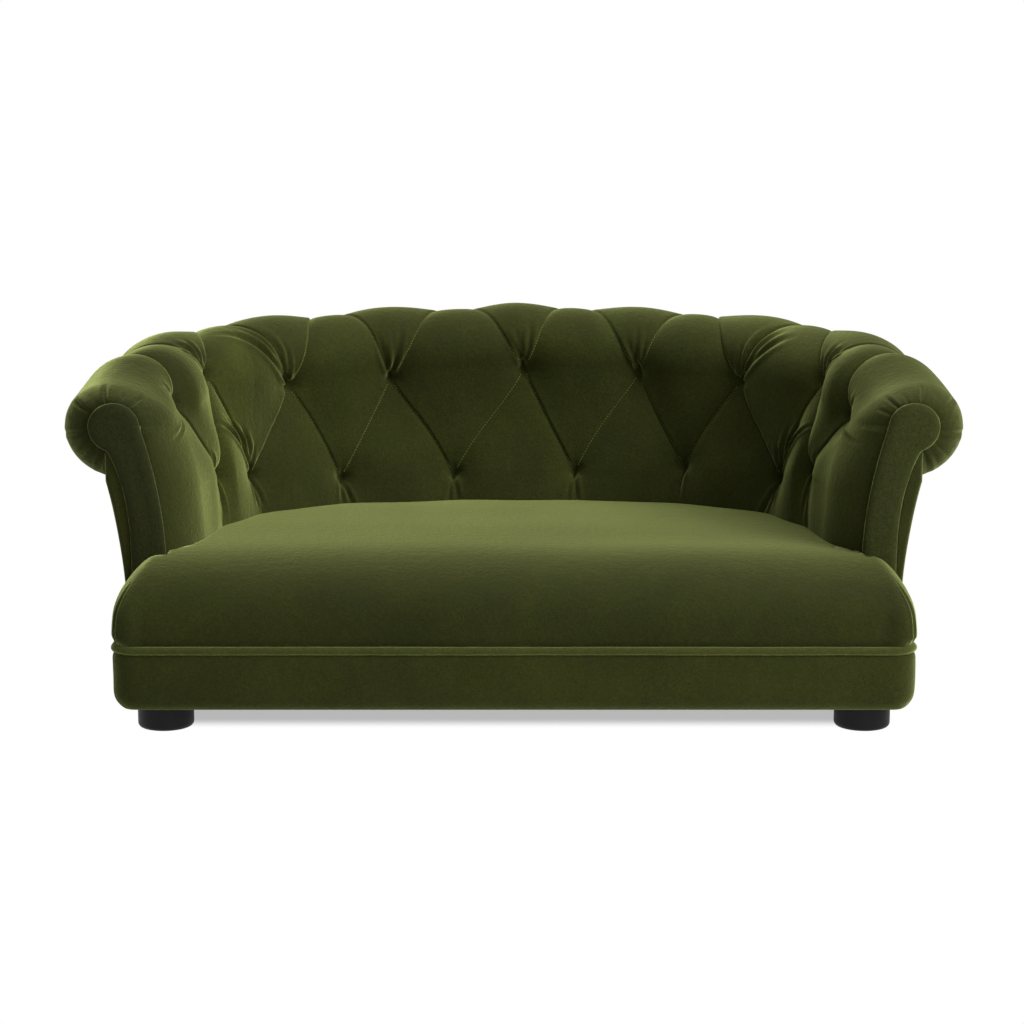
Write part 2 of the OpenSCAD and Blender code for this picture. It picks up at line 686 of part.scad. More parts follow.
// The foam slab lies on the deck inside the cover
slab_inset = 14;
slab_front = 40;
slab_us = [for (u = stations(0, u_round)) if (u * cells % 2 == 0) u];
module slab_plan(grow) {
    right = concat(
        [for (u = slab_us) on(frame(u), face_point(u, 0)[0] - slab_inset + grow)],
        [[on(frame(u_round), face_point(u_round, 0)[0] - slab_inset + grow).x, slab_front - grow - mid_depth]]
    );
    polygon(concat(right, [for (p = reversed(right)) [-p.x, p.y]]));
}
module seat_foam() color(FOAM) translate([0, 0, seat_z]) linear_extrude(slab_t) slab_plan(0);
module seat_cover() {
    color(VELVET) difference() {
        seat_form();
        translate([0, 0, seat_z - overrun]) linear_extrude(slab_t + overrun + gap) slab_plan(gap);
    }
}

// Frames round the whole base: right side from the back, front corners, left side to the back
corner_steps = 4;
function corner_frame(angle) = [
    half_w - corner_r + corner_r * cos(angle),
    corner_r - corner_r * sin(angle) - mid_depth,
    cos(angle), -sin(angle)
];
function mirrored_back(list) = [for (f = reversed(list)) mirrored(f)];
side_frames = concat(frames(stations(u_split, diamonds)), [frame(u_corner)]);
right_corner = [for (i = [0:corner_steps]) corner_frame(90 * i / corner_steps)];
front_frames = concat(right_corner, mirrored_back(right_corner));
half_frames = concat(frames(stations(0, diamonds)), right_corner);
loop_frames = concat(half_frames, [for (f = mirrored_back(half_frames)) if (f[0] < -tiny) f]);
module sweep(list, side_a, side_b) {
    skin([for (f = list) [for (at = concat(side_a, side_b)) set(f, at)]], len(side_a));
}
module whole_plan(off) polygon([for (f = loop_frames) on(f, off)]);

// Base band: a padded strip with a full face, drawn in at its foot and turned under the frame
band_rise_shares = [0, 0.07, 0.2, 0.45, 0.85, 1];
band_dip_shares = [1.55, 0.9, 0.35, 0, 0, 0.2];
band_outside = [for (i = [0:len(band_rise_shares) - 1])
    [-band_dip_shares[i] * band_t, mix(base_gap, band_top, band_rise_shares[i])]];
band_inside = [
    [-band_t, band_top],
    [-band_t, base_gap + hem_t],
    [-band_t - hem_w, base_gap + hem_t],
    [-band_t - hem_w, base_gap]
];
module band(list) color(VELVET) sweep(list, band_outside, band_inside);
module back_band() band(frames(back_us));
module right_band() band(side_frames);
module left_band() band(mirrored_back(side_frames));
module front_band() band(front_frames);

// Welt: a round cord in its cover, all round the base
welt_sides = 8;
module base_welt() {
    middle = [frame_off + gap + welt_d / 2, welt_z];
    turn = 360 / welt_sides;
    color(VELVET_DARK) skin(
        [for (f = loop_frames) [for (i = [0:welt_sides - 1]) set(f, around(middle, welt_d / 2, turn * i))]],
        welt_sides / 2, closed = true);
}

// Base frame under the deck
deck_screw_shares = [0.13, 0.42, 0.73];
front_screw_shares = [-0.8, -0.3, 0.3, 0.8];
deck_screw_us = diamonds * deck_screw_shares;
frame_h = deck_z - frame_z;
rail_mid = frame_off - rail_t / 2;
module solid_at(z, h) translate([0, 0, z]) linear_extrude(h) children();
module depth_slab(d0, d1) translate([-base_w, d0 - mid_depth]) square([2 * base_w, d1 - d0]);
front_rail_in = rail_t - frame_off;
deck_screw_places = concat(
    [for (u = concat(deck_screw_us, opposite(deck_screw_us))) on(frame(u), rail_mid)],
    [for (share = front_screw_shares) [share * half_w, -rail_mid - mid_depth]]
);
module deck_screw_holes() {
    for (p = deck_screw_places) translate([p.x, p.y, deck_top]) screw_hole(screw_d, screw_l);
}
module seat_deck() {
    color(PLY) difference() {
        solid_at(deck_z, deck_t) whole_plan(frame_off);
        deck_screw_holes();
    }
}
rail_screw_shares = [0.3, 0.7];
rail_screw_x = half_w + rail_off + rail_t / 3;
rail_screw_depth = corner_r / 2;
module at_rail_screws() {
    for (s = [-1, 1]) for (share = rail_screw_shares)
        translate([s * rail_screw_x, rail_screw_depth - mid_depth, frame_z + share * frame_h])
            rotate([90, 0, 0]) children();
}
module front_rail() {
    color(PINE) difference() {
        solid_at(frame_z, frame_h - gap) intersection() {
            whole_plan(frame_off);
            depth_slab(0, front_rail_in);
        }
        deck_screw_holes();
        at_rail_screws() screw_hole(screw_d, screw_l);
        at_rail_screws() cylinder(h = rail_t, d = screw_head_d + 2 * screw_play, $fn = 32);
    }
}
module side_rail_shape(list) {
    difference() {
        solid_at(frame_z, frame_h - gap) intersection() {
            polygon(concat([for (f = list) on(f, frame_off)], [for (f = reversed(list)) on(f, rail_off)]));
            depth_slab(front_rail_in + gap, base_d);
        }
        deck_screw_holes();
        at_rail_screws() screw_hole(screw_d, screw_l);
    }
}
module right_side_rail() color(PINE) side_rail_shape(side_frames);
module left_side_rail() color(PINE) side_rail_shape(mirrored_back(side_frames));
module back_rail() color(PINE) side_rail_shape(frames(back_us));
module centre_rail() {
    color(PINE) translate([-rail_t / 2, front_rail_in + gap - mid_depth, deck_z - gap - centre_rail_h])
        cube([rail_t, base_d + rail_off - front_rail_in - 3 * gap, centre_rail_h]);
}

// Corner blocks carry the feet
back_foot_depth = base_d - back_foot_in;
foot_places = [
    [-(half_w - foot_side), foot_front - mid_depth], [half_w - foot_side, foot_front - mid_depth],
    [-back_foot_x, back_foot_depth - mid_depth], [back_foot_x, back_foot_depth - mid_depth]
];
foot_head_d = 10;
foot_head_t = 3;
foot_recess_d = 20;
foot_recess_h = 12;
foot_boss_d = 40;
foot_play = 0.2;
module corner_blocks() {
    color(PINE) difference() {
        solid_at(frame_z, block_h) intersection() {
            whole_plan(rail_off - gap);
            depth_slab(front_rail_in + gap, base_d);
            union() for (p = foot_places) translate(p) square(block_w, center = true);
        }
        for (p = foot_places) translate([p.x, p.y, frame_z - overrun])
            cylinder(h = foot_screw_l, d = foot_screw_d + 2 * foot_play, $fn = 24);
    }
}
module foot_shape(p) {
    foot_r = foot_d / 2;
    body_h = base_gap - gap;
    translate(p) color(BLACK) difference() {
        union() {
            rotate_extrude($fn = 96) union() {
                square([foot_r - foot_round, body_h]);
                translate([0, foot_round]) square([foot_r, body_h - foot_round]);
                translate([foot_r - foot_round, foot_round]) circle(foot_round, $fn = 48);
            }
            cylinder(h = frame_z - gap, d = foot_boss_d, $fn = 64);
        }
        translate([0, 0, -overrun]) cylinder(h = foot_recess_h + overrun, d = foot_recess_d, $fn = 48);
        cylinder(h = frame_z + overrun, d = foot_screw_d + 2 * foot_play, $fn = 24);
    }
}
module front_left_foot() foot_shape(foot_places[0]);
module front_right_foot() foot_shape(foot_places[1]);
module back_left_foot() foot_shape(foot_places[2]);
module back_right_foot() foot_shape(foot_places[3]);
module foot_screws() {
    color(STEEL) for (p = foot_places) translate([p.x, p.y, foot_recess_h - foot_head_t]) {
        cylinder(h = foot_head_t, d = foot_head_d, $fn = 32);
        cylinder(h = foot_screw_l, d = foot_screw_d, $fn = 24);
    }
}

// Dust cover under the frame, cut out round the feet
dust_t = 1;
module dust_cover() {
    color(BLACK) solid_at(frame_z - gap - dust_t, dust_t) difference() {
        whole_plan(-band_t - hem_w - gap);
        for (p = foot_places) translate(p) circle(d = foot_boss_d + 2 * overrun, $fn = 64);
    }
}

module deck_screws() {
    color(STEEL) for (p = deck_screw_places) translate([p.x, p.y, deck_top]) screw_shape(screw_d, screw_l);
}
module rail_screws() {
    color(STEEL) {
        at_rail_screws() screw_shape(screw_d, screw_l);
        for (u = back_post_us) translate(place(u, [post_middle(back_top - rail_t), back_top]))
            screw_shape(screw_d, screw_l);
        for (u = concat(arm_post_us, opposite(arm_post_us)))
            translate(place(u, [post_middle(arm_top - rail_t), arm_top])) screw_shape(screw_d, screw_l);
    }
}

seat_cover();
seat_foam();
back_pad();
left_arm_pad();
right_arm_pad();
back_foam();
left_arm_foam();
right_arm_foam();
back_roll_foam();
left_roll_foam();
right_roll_foam();
left_facing();
right_facing();
outside_back();
left_outside_arm();
right_outside_arm();
front_band();
left_band();
right_band();
back_band();
base_welt();
dust_cover();
back_liner();
left_arm_liner();
right_arm_liner();
outer_back_board();
left_outer_board();
right_outer_board();
crest_rail();
left_arm_rail();
right_arm_rail();
wall_posts();
left_arm_board();
right_arm_board();
seat_deck();
front_rail();
left_side_rail();
right_side_rail();
back_rail();
centre_rail();
corner_blocks();
tuft_ties();
tie_washers();
tuft_tacks();
deck_screws();
rail_screws();
front_left_foot();
front_right_foot();
back_left_foot();
back_right_foot();
foot_screws();
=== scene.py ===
# %% [markdown]
# # A tufted sofa bed for a small dog
#
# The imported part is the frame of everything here: its feet, boards and screws stay where they
# are, and each soft solid is replaced by a piece with the form of real upholstery. All lengths
# below are in millimetres, as an upholsterer would measure, and turn into metres only when a
# mesh is made.

# %% Load the frame
import json
import math

import bmesh
import bpy
import numpy as np
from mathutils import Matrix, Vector


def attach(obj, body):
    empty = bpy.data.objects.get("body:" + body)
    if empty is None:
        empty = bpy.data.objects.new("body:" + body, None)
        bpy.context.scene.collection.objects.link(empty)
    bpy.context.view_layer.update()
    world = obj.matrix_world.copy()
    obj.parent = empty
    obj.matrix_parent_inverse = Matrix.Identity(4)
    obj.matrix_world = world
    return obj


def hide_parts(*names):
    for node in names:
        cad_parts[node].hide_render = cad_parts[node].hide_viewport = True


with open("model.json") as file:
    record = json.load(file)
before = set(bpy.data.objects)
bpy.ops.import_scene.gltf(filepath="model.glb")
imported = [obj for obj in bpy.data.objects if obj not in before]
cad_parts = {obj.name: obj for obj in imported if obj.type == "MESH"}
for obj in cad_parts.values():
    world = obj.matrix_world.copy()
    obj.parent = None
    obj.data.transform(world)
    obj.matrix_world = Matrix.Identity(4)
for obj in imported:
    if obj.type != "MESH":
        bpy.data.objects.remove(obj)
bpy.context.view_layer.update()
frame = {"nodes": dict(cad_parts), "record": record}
nodes = frame["nodes"]
scene = bpy.context.scene

# %% [markdown]
# ## The plan line
#
# The base is a horseshoe: straight at the front, then one smooth curve round the back. The curve
# is a superellipse, an ellipse whose corners are a little fuller, because its squareness is one
# number that can be turned until it fits. Every upholstered wall is then described by a distance
# outside this line and a height, so one formula serves the whole sweep.

# %% Plan line of the base
BASE_W, BASE_D, CURVE_START, PLAN_POWER, CORNER_R = 812.0, 517.0, 100.0, 2.5, 24.0
HALF_W = BASE_W / 2
MID_DEPTH = 287.5
DIAMONDS, U_SPLIT = 4.5, 2.5
FACING_DEPTH, FACING_T = 90.0, 8.0
CLEAR = 0.3
PATH_FRONT = FACING_DEPTH + FACING_T + CLEAR
MEASURE_OFF = -53.0


def plan_line(steps=720):
    angle = np.radians(np.linspace(0, 90, steps + 1))
    x = HALF_W * np.sin(angle) ** (2 / PLAN_POWER)
    depth = CURVE_START + (BASE_D - CURVE_START) * np.cos(angle).clip(0) ** (2 / PLAN_POWER)
    gx = (x / HALF_W) ** (PLAN_POWER - 1) / HALF_W
    gy = ((depth - CURVE_START) / (BASE_D - CURVE_START)).clip(0) ** (PLAN_POWER - 1)
    gy = gy / (BASE_D - CURVE_START)
    size = np.hypot(gx, gy)
    x, depth = np.append(x, [HALF_W] * 2), np.append(depth, [PATH_FRONT, CORNER_R])
    nx, ny = np.append(gx / size, [1, 1]), np.append(gy / size, [0, 0])
    return x, depth - MID_DEPTH, nx, ny


LINE_X, LINE_Y, LINE_NX, LINE_NY = plan_line()
face_x, face_y = LINE_X + MEASURE_OFF * LINE_NX, LINE_Y + MEASURE_OFF * LINE_NY
RUN = np.append(0, np.cumsum(np.hypot(np.diff(face_x), np.diff(face_y))))
PITCH = RUN[-2] / DIAMONDS
print("diamond width", round(PITCH, 2), "mm")


def rows_of(*columns):
    """One row of numbers for each point, from its coordinates; a single number serves all points."""
    return np.stack(np.broadcast_arrays(*columns), -1)


def place(u, off, z):
    """Points that lie off outside the plan line at u diamonds from the middle of the back."""
    u, off, z = np.broadcast_arrays(np.asarray(u, float), off, z)
    run = np.abs(u) * PITCH
    side = np.where(u < 0, -1.0, 1.0)
    x = np.interp(run, RUN, LINE_X) + off * np.interp(run, RUN, LINE_NX)
    y = np.interp(run, RUN, LINE_Y) + off * np.interp(run, RUN, LINE_NY)
    return rows_of(side * x, y, z)

# %% [markdown]
# ## Meshes from rows of points
#
# Every soft piece here is a grid of points: so many columns along the piece, so many rows up its
# section. Building a mesh straight from such a grid keeps full control over where each fold runs,
# which a sculpted or remeshed surface would blur. The helpers below turn grids into objects.

# %% Mesh helpers
MM = 0.001


def grid_faces(columns, rows, closed_rows=False, closed_columns=False, start=0):
    i = np.arange(columns if closed_columns else columns - 1)
    j = np.arange(rows if closed_rows else rows - 1)
    a, b = np.meshgrid(i, j, indexing="ij")
    nxt, up = (a + 1) % columns, (b + 1) % rows
    faces = rows_of(a * rows + b, nxt * rows + b, nxt * rows + up, a * rows + up)
    return faces.reshape(-1, 4) + start


def new_object(name, points, faces, smooth=True):
    mesh = bpy.data.meshes.new(name)
    mesh.from_pydata((np.asarray(points) * MM).tolist(), [], [list(map(int, f)) for f in faces])
    mesh.validate()
    mesh.update()
    mesh.polygons.foreach_set("use_smooth", [smooth] * len(mesh.polygons))
    piece = bpy.data.objects.new(name, mesh)
    scene.collection.objects.link(piece)
    return piece


def face_normals(points, faces):
    p = np.asarray(points, float)
    f = np.asarray(faces)
    n = np.cross(p[f[:, 2]] - p[f[:, 0]], p[f[:, 3]] - p[f[:, 1]])
    total = np.zeros_like(p)
    for k in range(4):
        np.add.at(total, f[:, k], n)
    return total / np.maximum(np.linalg.norm(total, axis=1, keepdims=True), 1e-9)


def smoothstep(low, high, x):
    t = np.clip((x - low) / (high - low), 0, 1)
    return t * t * (3 - 2 * t)


def hill(x, width):
    """A smooth hill, 1 at x = 0 and nearly nothing two widths away."""
    return np.exp(-(x / width) ** 2)


def cloth_fold(across, width, shoulder, at, spread=1.0):
    """Section of a sharp fold: a valley with cloth pushed up on both sides, as a share of its depth."""
    return hill(across, width) - shoulder * hill(np.abs(across) - at * width, spread * width)


def unit_rows(vectors):
    return vectors / np.linalg.norm(vectors, axis=1, keepdims=True)


def waves(seed, count, low, high, size):
    """A soft random field on the plane: count waves between low and high mm long, size mm high."""
    random = np.random.default_rng(seed)
    angle = random.uniform(0, 2 * np.pi, count)
    length = random.uniform(low, high, count)
    phase = random.uniform(0, 2 * np.pi, count)

    def field(a, b):
        total = 0
        for t, l, p in zip(angle, length, phase):
            total = total + np.sin(2 * np.pi * (a * np.cos(t) + b * np.sin(t)) / l + p)
        return size * total / math.sqrt(count)
    return field


print("a grid of 3 by 4 points has", len(grid_faces(3, 4)), "faces")

# %% [markdown]
# ## The section of the tufted wall
#
# Seen from the side, the inside face leaves the seat almost upright, leans out, and rolls over a
# padded rail until it turns in under the roll. The row of tufts just above the seat, the row
# where the roll begins and the row behind the crest are counted v = 1, 2 and 3, so a diamond is
# always one unit in u and two in v. The formulas are those that made the solids of the frame.

# %% Section of the tufted wall
DECK_TOP, SEAT_Z = 90.7, 91.0
ROLL_R_BACK, ROLL_R_ARM = 56.0, 64.0
ROLL_BACK_Z, ROLL_DROP = 339.0, 33.0
ROLL_OUT_BACK, ROLL_OUT_ARM = 2.0, 0.0
CORE_R, CORE_SHIFT = 22.0, 5.0
WALL_IN_BACK, WALL_IN_ARM = 84.0, 74.0
FRAME_IN_LOW, FRAME_IN_HIGH = 46.0, 22.0
OUT_LOW, OUT_HIGH, COVER_T = 4.0, 15.0, 3.0
BOARD_OUT = OUT_HIGH - COVER_T - CLEAR
TUFT_CROWN = 10.0
ROW_ANGLE_BACK, ROW_ANGLE_ARM = 196.0, 180.0
THIRD_ROW_ANGLE, LAST_ANGLE = 35.0, -75.0
LOW_ROW_BACK, LOW_ROW_ARM = 0.47, 0.68


def mix(a, b, share):
    return a + (b - a) * share


def to_front(u):
    """Distance along the wall from a place to the front end of its arm."""
    return (DIAMONDS - np.abs(u)) * PITCH


def blend(u):
    return np.clip(np.abs(u) / DIAMONDS, 0, 1) ** 1.5


def roll_r(u):
    return mix(ROLL_R_BACK, ROLL_R_ARM, blend(u))


def fold_r(u):
    return roll_r(u) - TUFT_CROWN


def round_a_middle(middle, r, angle):
    """The point of a section that lies r from its middle, at an angle in radians."""
    return middle[0] + r * np.cos(angle), middle[1] + r * np.sin(angle)


def roll_mid(u):
    drop = ROLL_DROP * np.clip(np.abs(u) / DIAMONDS, 0, 1) ** 1.3
    return mix(ROLL_OUT_BACK, ROLL_OUT_ARM, blend(u)), ROLL_BACK_Z - drop


def core_mid(u):
    off, z = roll_mid(u)
    return off + CORE_SHIFT * blend(u), z - CORE_SHIFT * blend(u)


def row_angle(u):
    return mix(ROW_ANGLE_BACK, ROW_ANGLE_ARM, blend(u))


def roll_angle(u, v):
    return np.where(v < 3, mix(row_angle(u), THIRD_ROW_ANGLE, v - 2),
                    mix(THIRD_ROW_ANGLE, LAST_ANGLE, v - 3))


ARM_TOP = core_mid(DIAMONDS)[1] - CLEAR


def frame_in(z):
    return -mix(FRAME_IN_LOW, FRAME_IN_HIGH, (z - DECK_TOP) / (ARM_TOP - DECK_TOP))


print("arm top", round(float(ARM_TOP), 1), "mm")

# %% Folds of the cover
TAPER_OUT, TAPER_IN, END_SHARE = 32.0, 72.0, 0.94
SETTLE_OUT, SETTLE_DOWN = 4.0, 11.0


def cover_mid(u):
    """Middle of the roll's cover: at the arm fronts the loose padding has settled down and outwards."""
    off, z = roll_mid(u)
    settled = smoothstep(2.9, 4.2, np.abs(u))
    return off + SETTLE_OUT * settled, z - SETTLE_DOWN * settled


def wall_point(u, t):
    foot_off = -mix(WALL_IN_BACK, WALL_IN_ARM, blend(u))
    angle = np.radians(row_angle(u))
    top_off, top_z = round_a_middle(cover_mid(u), fold_r(u), angle)
    rise = (top_z - SEAT_Z) / 3
    lean = rise * np.tan(angle - np.pi) / 2
    a, b, c, d = (1 - t) ** 3, 3 * (1 - t) ** 2 * t, 3 * (1 - t) * t * t, t ** 3
    off = foot_off * (a + b) + (top_off + lean) * c + top_off * d
    return off, SEAT_Z * a + (SEAT_Z + rise) * b + (top_z - rise) * c + top_z * d


def fold_point(u, v):
    low = mix(LOW_ROW_BACK, LOW_ROW_ARM, blend(u))
    t = np.where(v < 1, v * low, mix(low, 1, v - 1))
    wall_off, wall_z = wall_point(u, np.clip(t, -0.1, 1))
    roll_off, roll_z = round_a_middle(cover_mid(u), fold_r(u), np.radians(roll_angle(u, v)))
    return np.where(v >= 2, roll_off, wall_off), np.where(v >= 2, roll_z, wall_z)


def out_dir(u, v, step=0.02):
    """Outward direction of the section, from two near points."""
    off0, z0 = fold_point(u, v - step)
    off1, z1 = fold_point(u, v + step)
    size = np.hypot(off1 - off0, z1 - z0)
    return -(z1 - z0) / size, (off1 - off0) / size


def core_point(u, v):
    fold_z = fold_point(u, v)[1]
    angle = np.radians(roll_angle(u, v))
    past_board = (BOARD_OUT + 2 * CLEAR - core_mid(u)[0]) / np.cos(angle)
    reach = np.where(angle < 0, np.maximum(CORE_R, past_board), CORE_R)
    off, z = round_a_middle(core_mid(u), reach, angle)
    return np.where(v >= 2, off, frame_in(fold_z) - CLEAR), np.where(v >= 2, z, fold_z)


def drawn_in(u, v):
    """How far the cover is drawn in towards the arm front: a long taper inside, a short one outside."""
    inside = 1 - smoothstep(1.75, 2.4, v)
    left = np.clip(1 - to_front(u) / mix(TAPER_OUT, TAPER_IN, inside), 0, 1)
    return END_SHARE * mix(1 - np.sqrt(1 - left * left), left ** 1.7, mix(0.25, 0.62, inside))


print("rows of tufts at the middle", [round(float(fold_point(0.0, v)[1]), 1) for v in (1, 2, 3)], "mm high")

# %% [markdown]
# ## Deep diamond tufting
#
# The velvet is pulled back to the frame at each tuft, and the spare cloth between two tufts is
# folded into a straight pleat, so the face becomes a lattice of soft pillows. It could be
# simulated, but the folds of good tufting run dead straight from tuft to tuft, so here the
# lattice itself is the mesh: in p and q each diamond is one square, its pleats are the whole
# numbers, and the mesh edges lie along them. The tufts are then nudged a little, as a hand does.

# %% Lattice of tufts
FINE = 112
DRIFT_REACH_U, DRIFT_REACH_V = 0.42, 0.75
# how far each tuft is nudged in u and v
DRIFT = {
    (0.0, 2): (0.09, -0.06), (1.0, 2): (0.09, -0.06), (2.0, 2): (0.02, -0.05), (3.0, 2): (0.09, 0.12),
    (4.0, 2): (-0.29, -0.06), (-1.0, 2): (-0.07, -0.11), (-2.0, 2): (-0.01, -0.09),
    (-3.0, 2): (-0.07, 0.18), (-4.0, 2): (0.25, 0.09),
    (0.5, 1): (0.04, 0.0), (1.5, 1): (0.04, 0.04), (2.5, 1): (0.11, -0.03), (3.5, 1): (-0.26, 0.09),
    (-0.5, 1): (-0.04, -0.02), (-1.5, 1): (-0.07, -0.07), (-2.5, 1): (-0.06, -0.01),
    (-3.5, 1): (0.28, 0.02),
}


def drift(u, v):
    """How far a point of the regular lattice lies from its place, in u and v."""
    du, dv = np.zeros(np.shape(u)), np.zeros(np.shape(u))
    for (tu, tv), (mu, mv) in DRIFT.items():
        near = np.exp(-((u - tu) / DRIFT_REACH_U) ** 2 - ((v - tv) / DRIFT_REACH_V) ** 2)
        du, dv = du + mu * near, dv + mv * near
    hold = smoothstep(0, 0.35, DIAMONDS - np.abs(u)) * smoothstep(0, 0.7, v)
    hold = hold * smoothstep(0, 0.7, 4 - v)
    return du * hold, dv * hold


def whole_gap(x):
    return x - np.round(x)


def lattice(u, v):
    w = np.clip(v, 1, 3) - 2
    return u + w / 2, u - w / 2


def rounded(gap, power=2.3):
    return 1 - (1 - 2 * np.abs(gap)) ** power


TUFTS = [(n + 0.5, 1) for n in range(-4, 4)] + [(float(n), 2) for n in range(-4, 5)]
TUFTS += [(n + 0.5, 3) for n in range(-4, 4)]
print("tufts", len(TUFTS))

# %% Pillows and pleats
V_SCALE = 112.0
PILLOW_RIDGE = 0.30
PILLOW_BACK, PILLOW_ARM, OPEN_FULLNESS = 9.6, 12.6, 0.84
LIP, LIP_WIDTH = 2.3, 0.045
VALLEY, VALLEY_WIDTH = 1.6, 0.022
PIT_DEPTH, PIT_WIDTH = 9.0, 8.0
DISH_DEPTH, DISH_WIDTH = 5.4, 24.0


def tuft_relief(u, v):
    """Height of the cover over its folds at a point of the regular lattice, in millimetres."""
    p, q = lattice(u, v)
    gp, gq = whole_gap(p), whole_gap(q)
    # past the last tuft of an arm there are no pleats, only one full pillow up to the arm front
    open_end = smoothstep(4.0, 4.3, np.maximum(np.abs(p), np.abs(q)))
    a, b = mix(rounded(gp), OPEN_FULLNESS, open_end), mix(rounded(gq), OPEN_FULLNESS, open_end)
    pillow = a * b + PILLOW_RIDGE * (a + b - 2 * a * b)
    fade = np.where(v < 1, 0.25 + 0.75 * v.clip(0), np.where(v > 3, 1 - 0.55 * (v - 3), 1))
    height = fade * mix(PILLOW_BACK, PILLOW_ARM, blend(u)) * pillow
    sewn = fade * (1 - open_end) * (v > 0.98)
    # each pleat lies downwards, so the cloth above it stands a little proud over a sharp valley
    for gap, other in ((gp, gq), (-gq, gp)):
        inner = sewn * smoothstep(0.0, 0.14, np.abs(other))
        height = height + LIP * inner * np.where(gap > 1e-6, np.exp(-gap / LIP_WIDTH), 0)
        height = height - VALLEY * inner * np.exp(-np.abs(gap) / VALLEY_WIDTH)
    reach = np.sqrt((PITCH * (gp + gq) / 2) ** 2 + (V_SCALE * (gp - gq)) ** 2
                    + (V_SCALE * (np.clip(v, 1, 3) - v)) ** 2)
    sunk = hill(reach, PIT_WIDTH) * PIT_DEPTH + hill(reach, DISH_WIDTH) * DISH_DEPTH
    return height - sunk * (1 - open_end)


print("a pillow stands", round(float(tuft_relief(np.array(0.5), np.array(2.0))), 1), "mm over its folds")

# %% [markdown]
# ## Creases and gathers
#
# Cloth under tension folds towards what pulls it. Fine creases fan out of each tuft, long ones
# follow the turn of the wall into the arms, and gathers run back from the arm fronts, where the
# cover is drawn together under the board. Each is a narrow valley with the cloth pushed up on
# both sides. They are real shape in the mesh, because a bump texture would not show at an edge.

# %% Creases
# long folds that the curve of the wall draws out of a tuft: direction, length, depth and bend
CURVE_FOLDS = {
    (2.0, 2): ((48, 96, 4.6, 0.004), (57, 84, 4.2, 0.003), (66, 70, 3.6, 0.002), (76, 50, 2.8, 0.0)),
    (3.0, 2): ((58, 62, 4.4, 0.004), (70, 56, 4.0, 0.002), (84, 44, 3.2, 0.0), (104, 30, 2.2, 0.0)),
    (2.5, 1): ((64, 100, 4.8, 0.006), (73, 84, 4.2, 0.005), (82, 66, 3.6, 0.004), (92, 40, 2.6, 0.0)),
    (3.5, 1): ((70, 50, 1.8, 0.004), (-90, 60, 2.4, 0.0)),
    (4.0, 2): ((64, 34, 1.8, 0.0), (-34, 62, 1.8, 0.0)),
}


def creases():
    """Tension creases that leave a tuft: place, direction in degrees, length, depth and bend."""
    random = np.random.default_rng(11)
    found = []
    for tu, tv in TUFTS:
        folds = CURVE_FOLDS.get((abs(tu), tv), ())
        for turn, length, depth, bend in folds:
            turn, bend = (turn, bend) if tu > 0 else (180 - turn, -bend)
            found.append((tu, tv, turn + random.uniform(-2, 2), length * random.uniform(0.9, 1.1),
                          depth, bend))
        if tv == 2 and not folds:
            for turn in (-15, -3, 9, 19):
                found.append((tu, tv, 90 + turn + random.uniform(-3, 3) - 4 * tu,
                              random.uniform(34, 60), random.uniform(2.6, 4.0), 0.0))
        for turn in random.uniform(0, 360, 3):
            found.append((tu, tv, turn, random.uniform(10, 18), random.uniform(0.5, 1.0), 0.0))
        if tv == 1:
            for turn in (-9, 6):
                found.append((tu, tv, 270 + turn + random.uniform(-5, 5),
                              random.uniform(34, 60), 2.4, 0.0))
    return found


def crease_relief(u, v):
    height = np.zeros(np.shape(u))
    for tu, tv, turn, length, depth, bend in CREASES:
        x, y = (u - tu) * PITCH, (v - tv) * V_SCALE
        c, s = math.cos(math.radians(turn)), math.sin(math.radians(turn))
        along, across = x * c + y * s, -x * s + y * c
        across = across + bend * along ** 2
        window = smoothstep(1, 7, along) * (1 - smoothstep(0.45 * length, length, along))
        width = 1.8 + 0.03 * np.clip(along, 0, 60)
        height = height - depth * window * cloth_fold(across, width, 0.5, 2.1)
    return height


CREASES = creases()
print("creases", len(CREASES))

# %% Gathers behind the arm fronts
# the gathers: place round the roll in degrees, length and depth
SCROLL_PLEATS = [(150, 20, 1.2), (128, 28, 2.2), (104, 18, 1.0), (74, 34, 2.6), (53, 18, 1.0), (33, 36, 2.4),
                 (14, 18, 1.0), (-6, 34, 2.2), (-21, 18, 1.0), (-36, 28, 2.0), (-52, 18, 1.0), (-66, 30, 2.2)]


def scroll_pleats(u, v):
    """Gathers where the cover is drawn in behind the scroll-shaped arm fronts."""
    angle = roll_angle(u, v)
    left = to_front(u)
    height = np.zeros(np.shape(u))
    for turn, length, depth in SCROLL_PLEATS:
        across = np.radians(angle - turn) * mix(roll_r(u), CORE_R + 6, 1 - smoothstep(0, 50, left))
        window = (1 - smoothstep(0.45 * length, length, left)) * (v > 1.85)
        width = 1.3 + 0.02 * left
        height = height - depth * window * cloth_fold(across, width, 0.4, 2.4, 1.4)
    return height


print("gathers", len(SCROLL_PLEATS), "on each arm")

# %% Tufted face
SLIM, SLIM_TOP, SLIM_REACH = 5.0, 19.0, 120
FULL_LOW, FLAT_SHOULDER = 7.5, 4.0
hand_waves = waves(3, 10, 45, 150, 0.55)


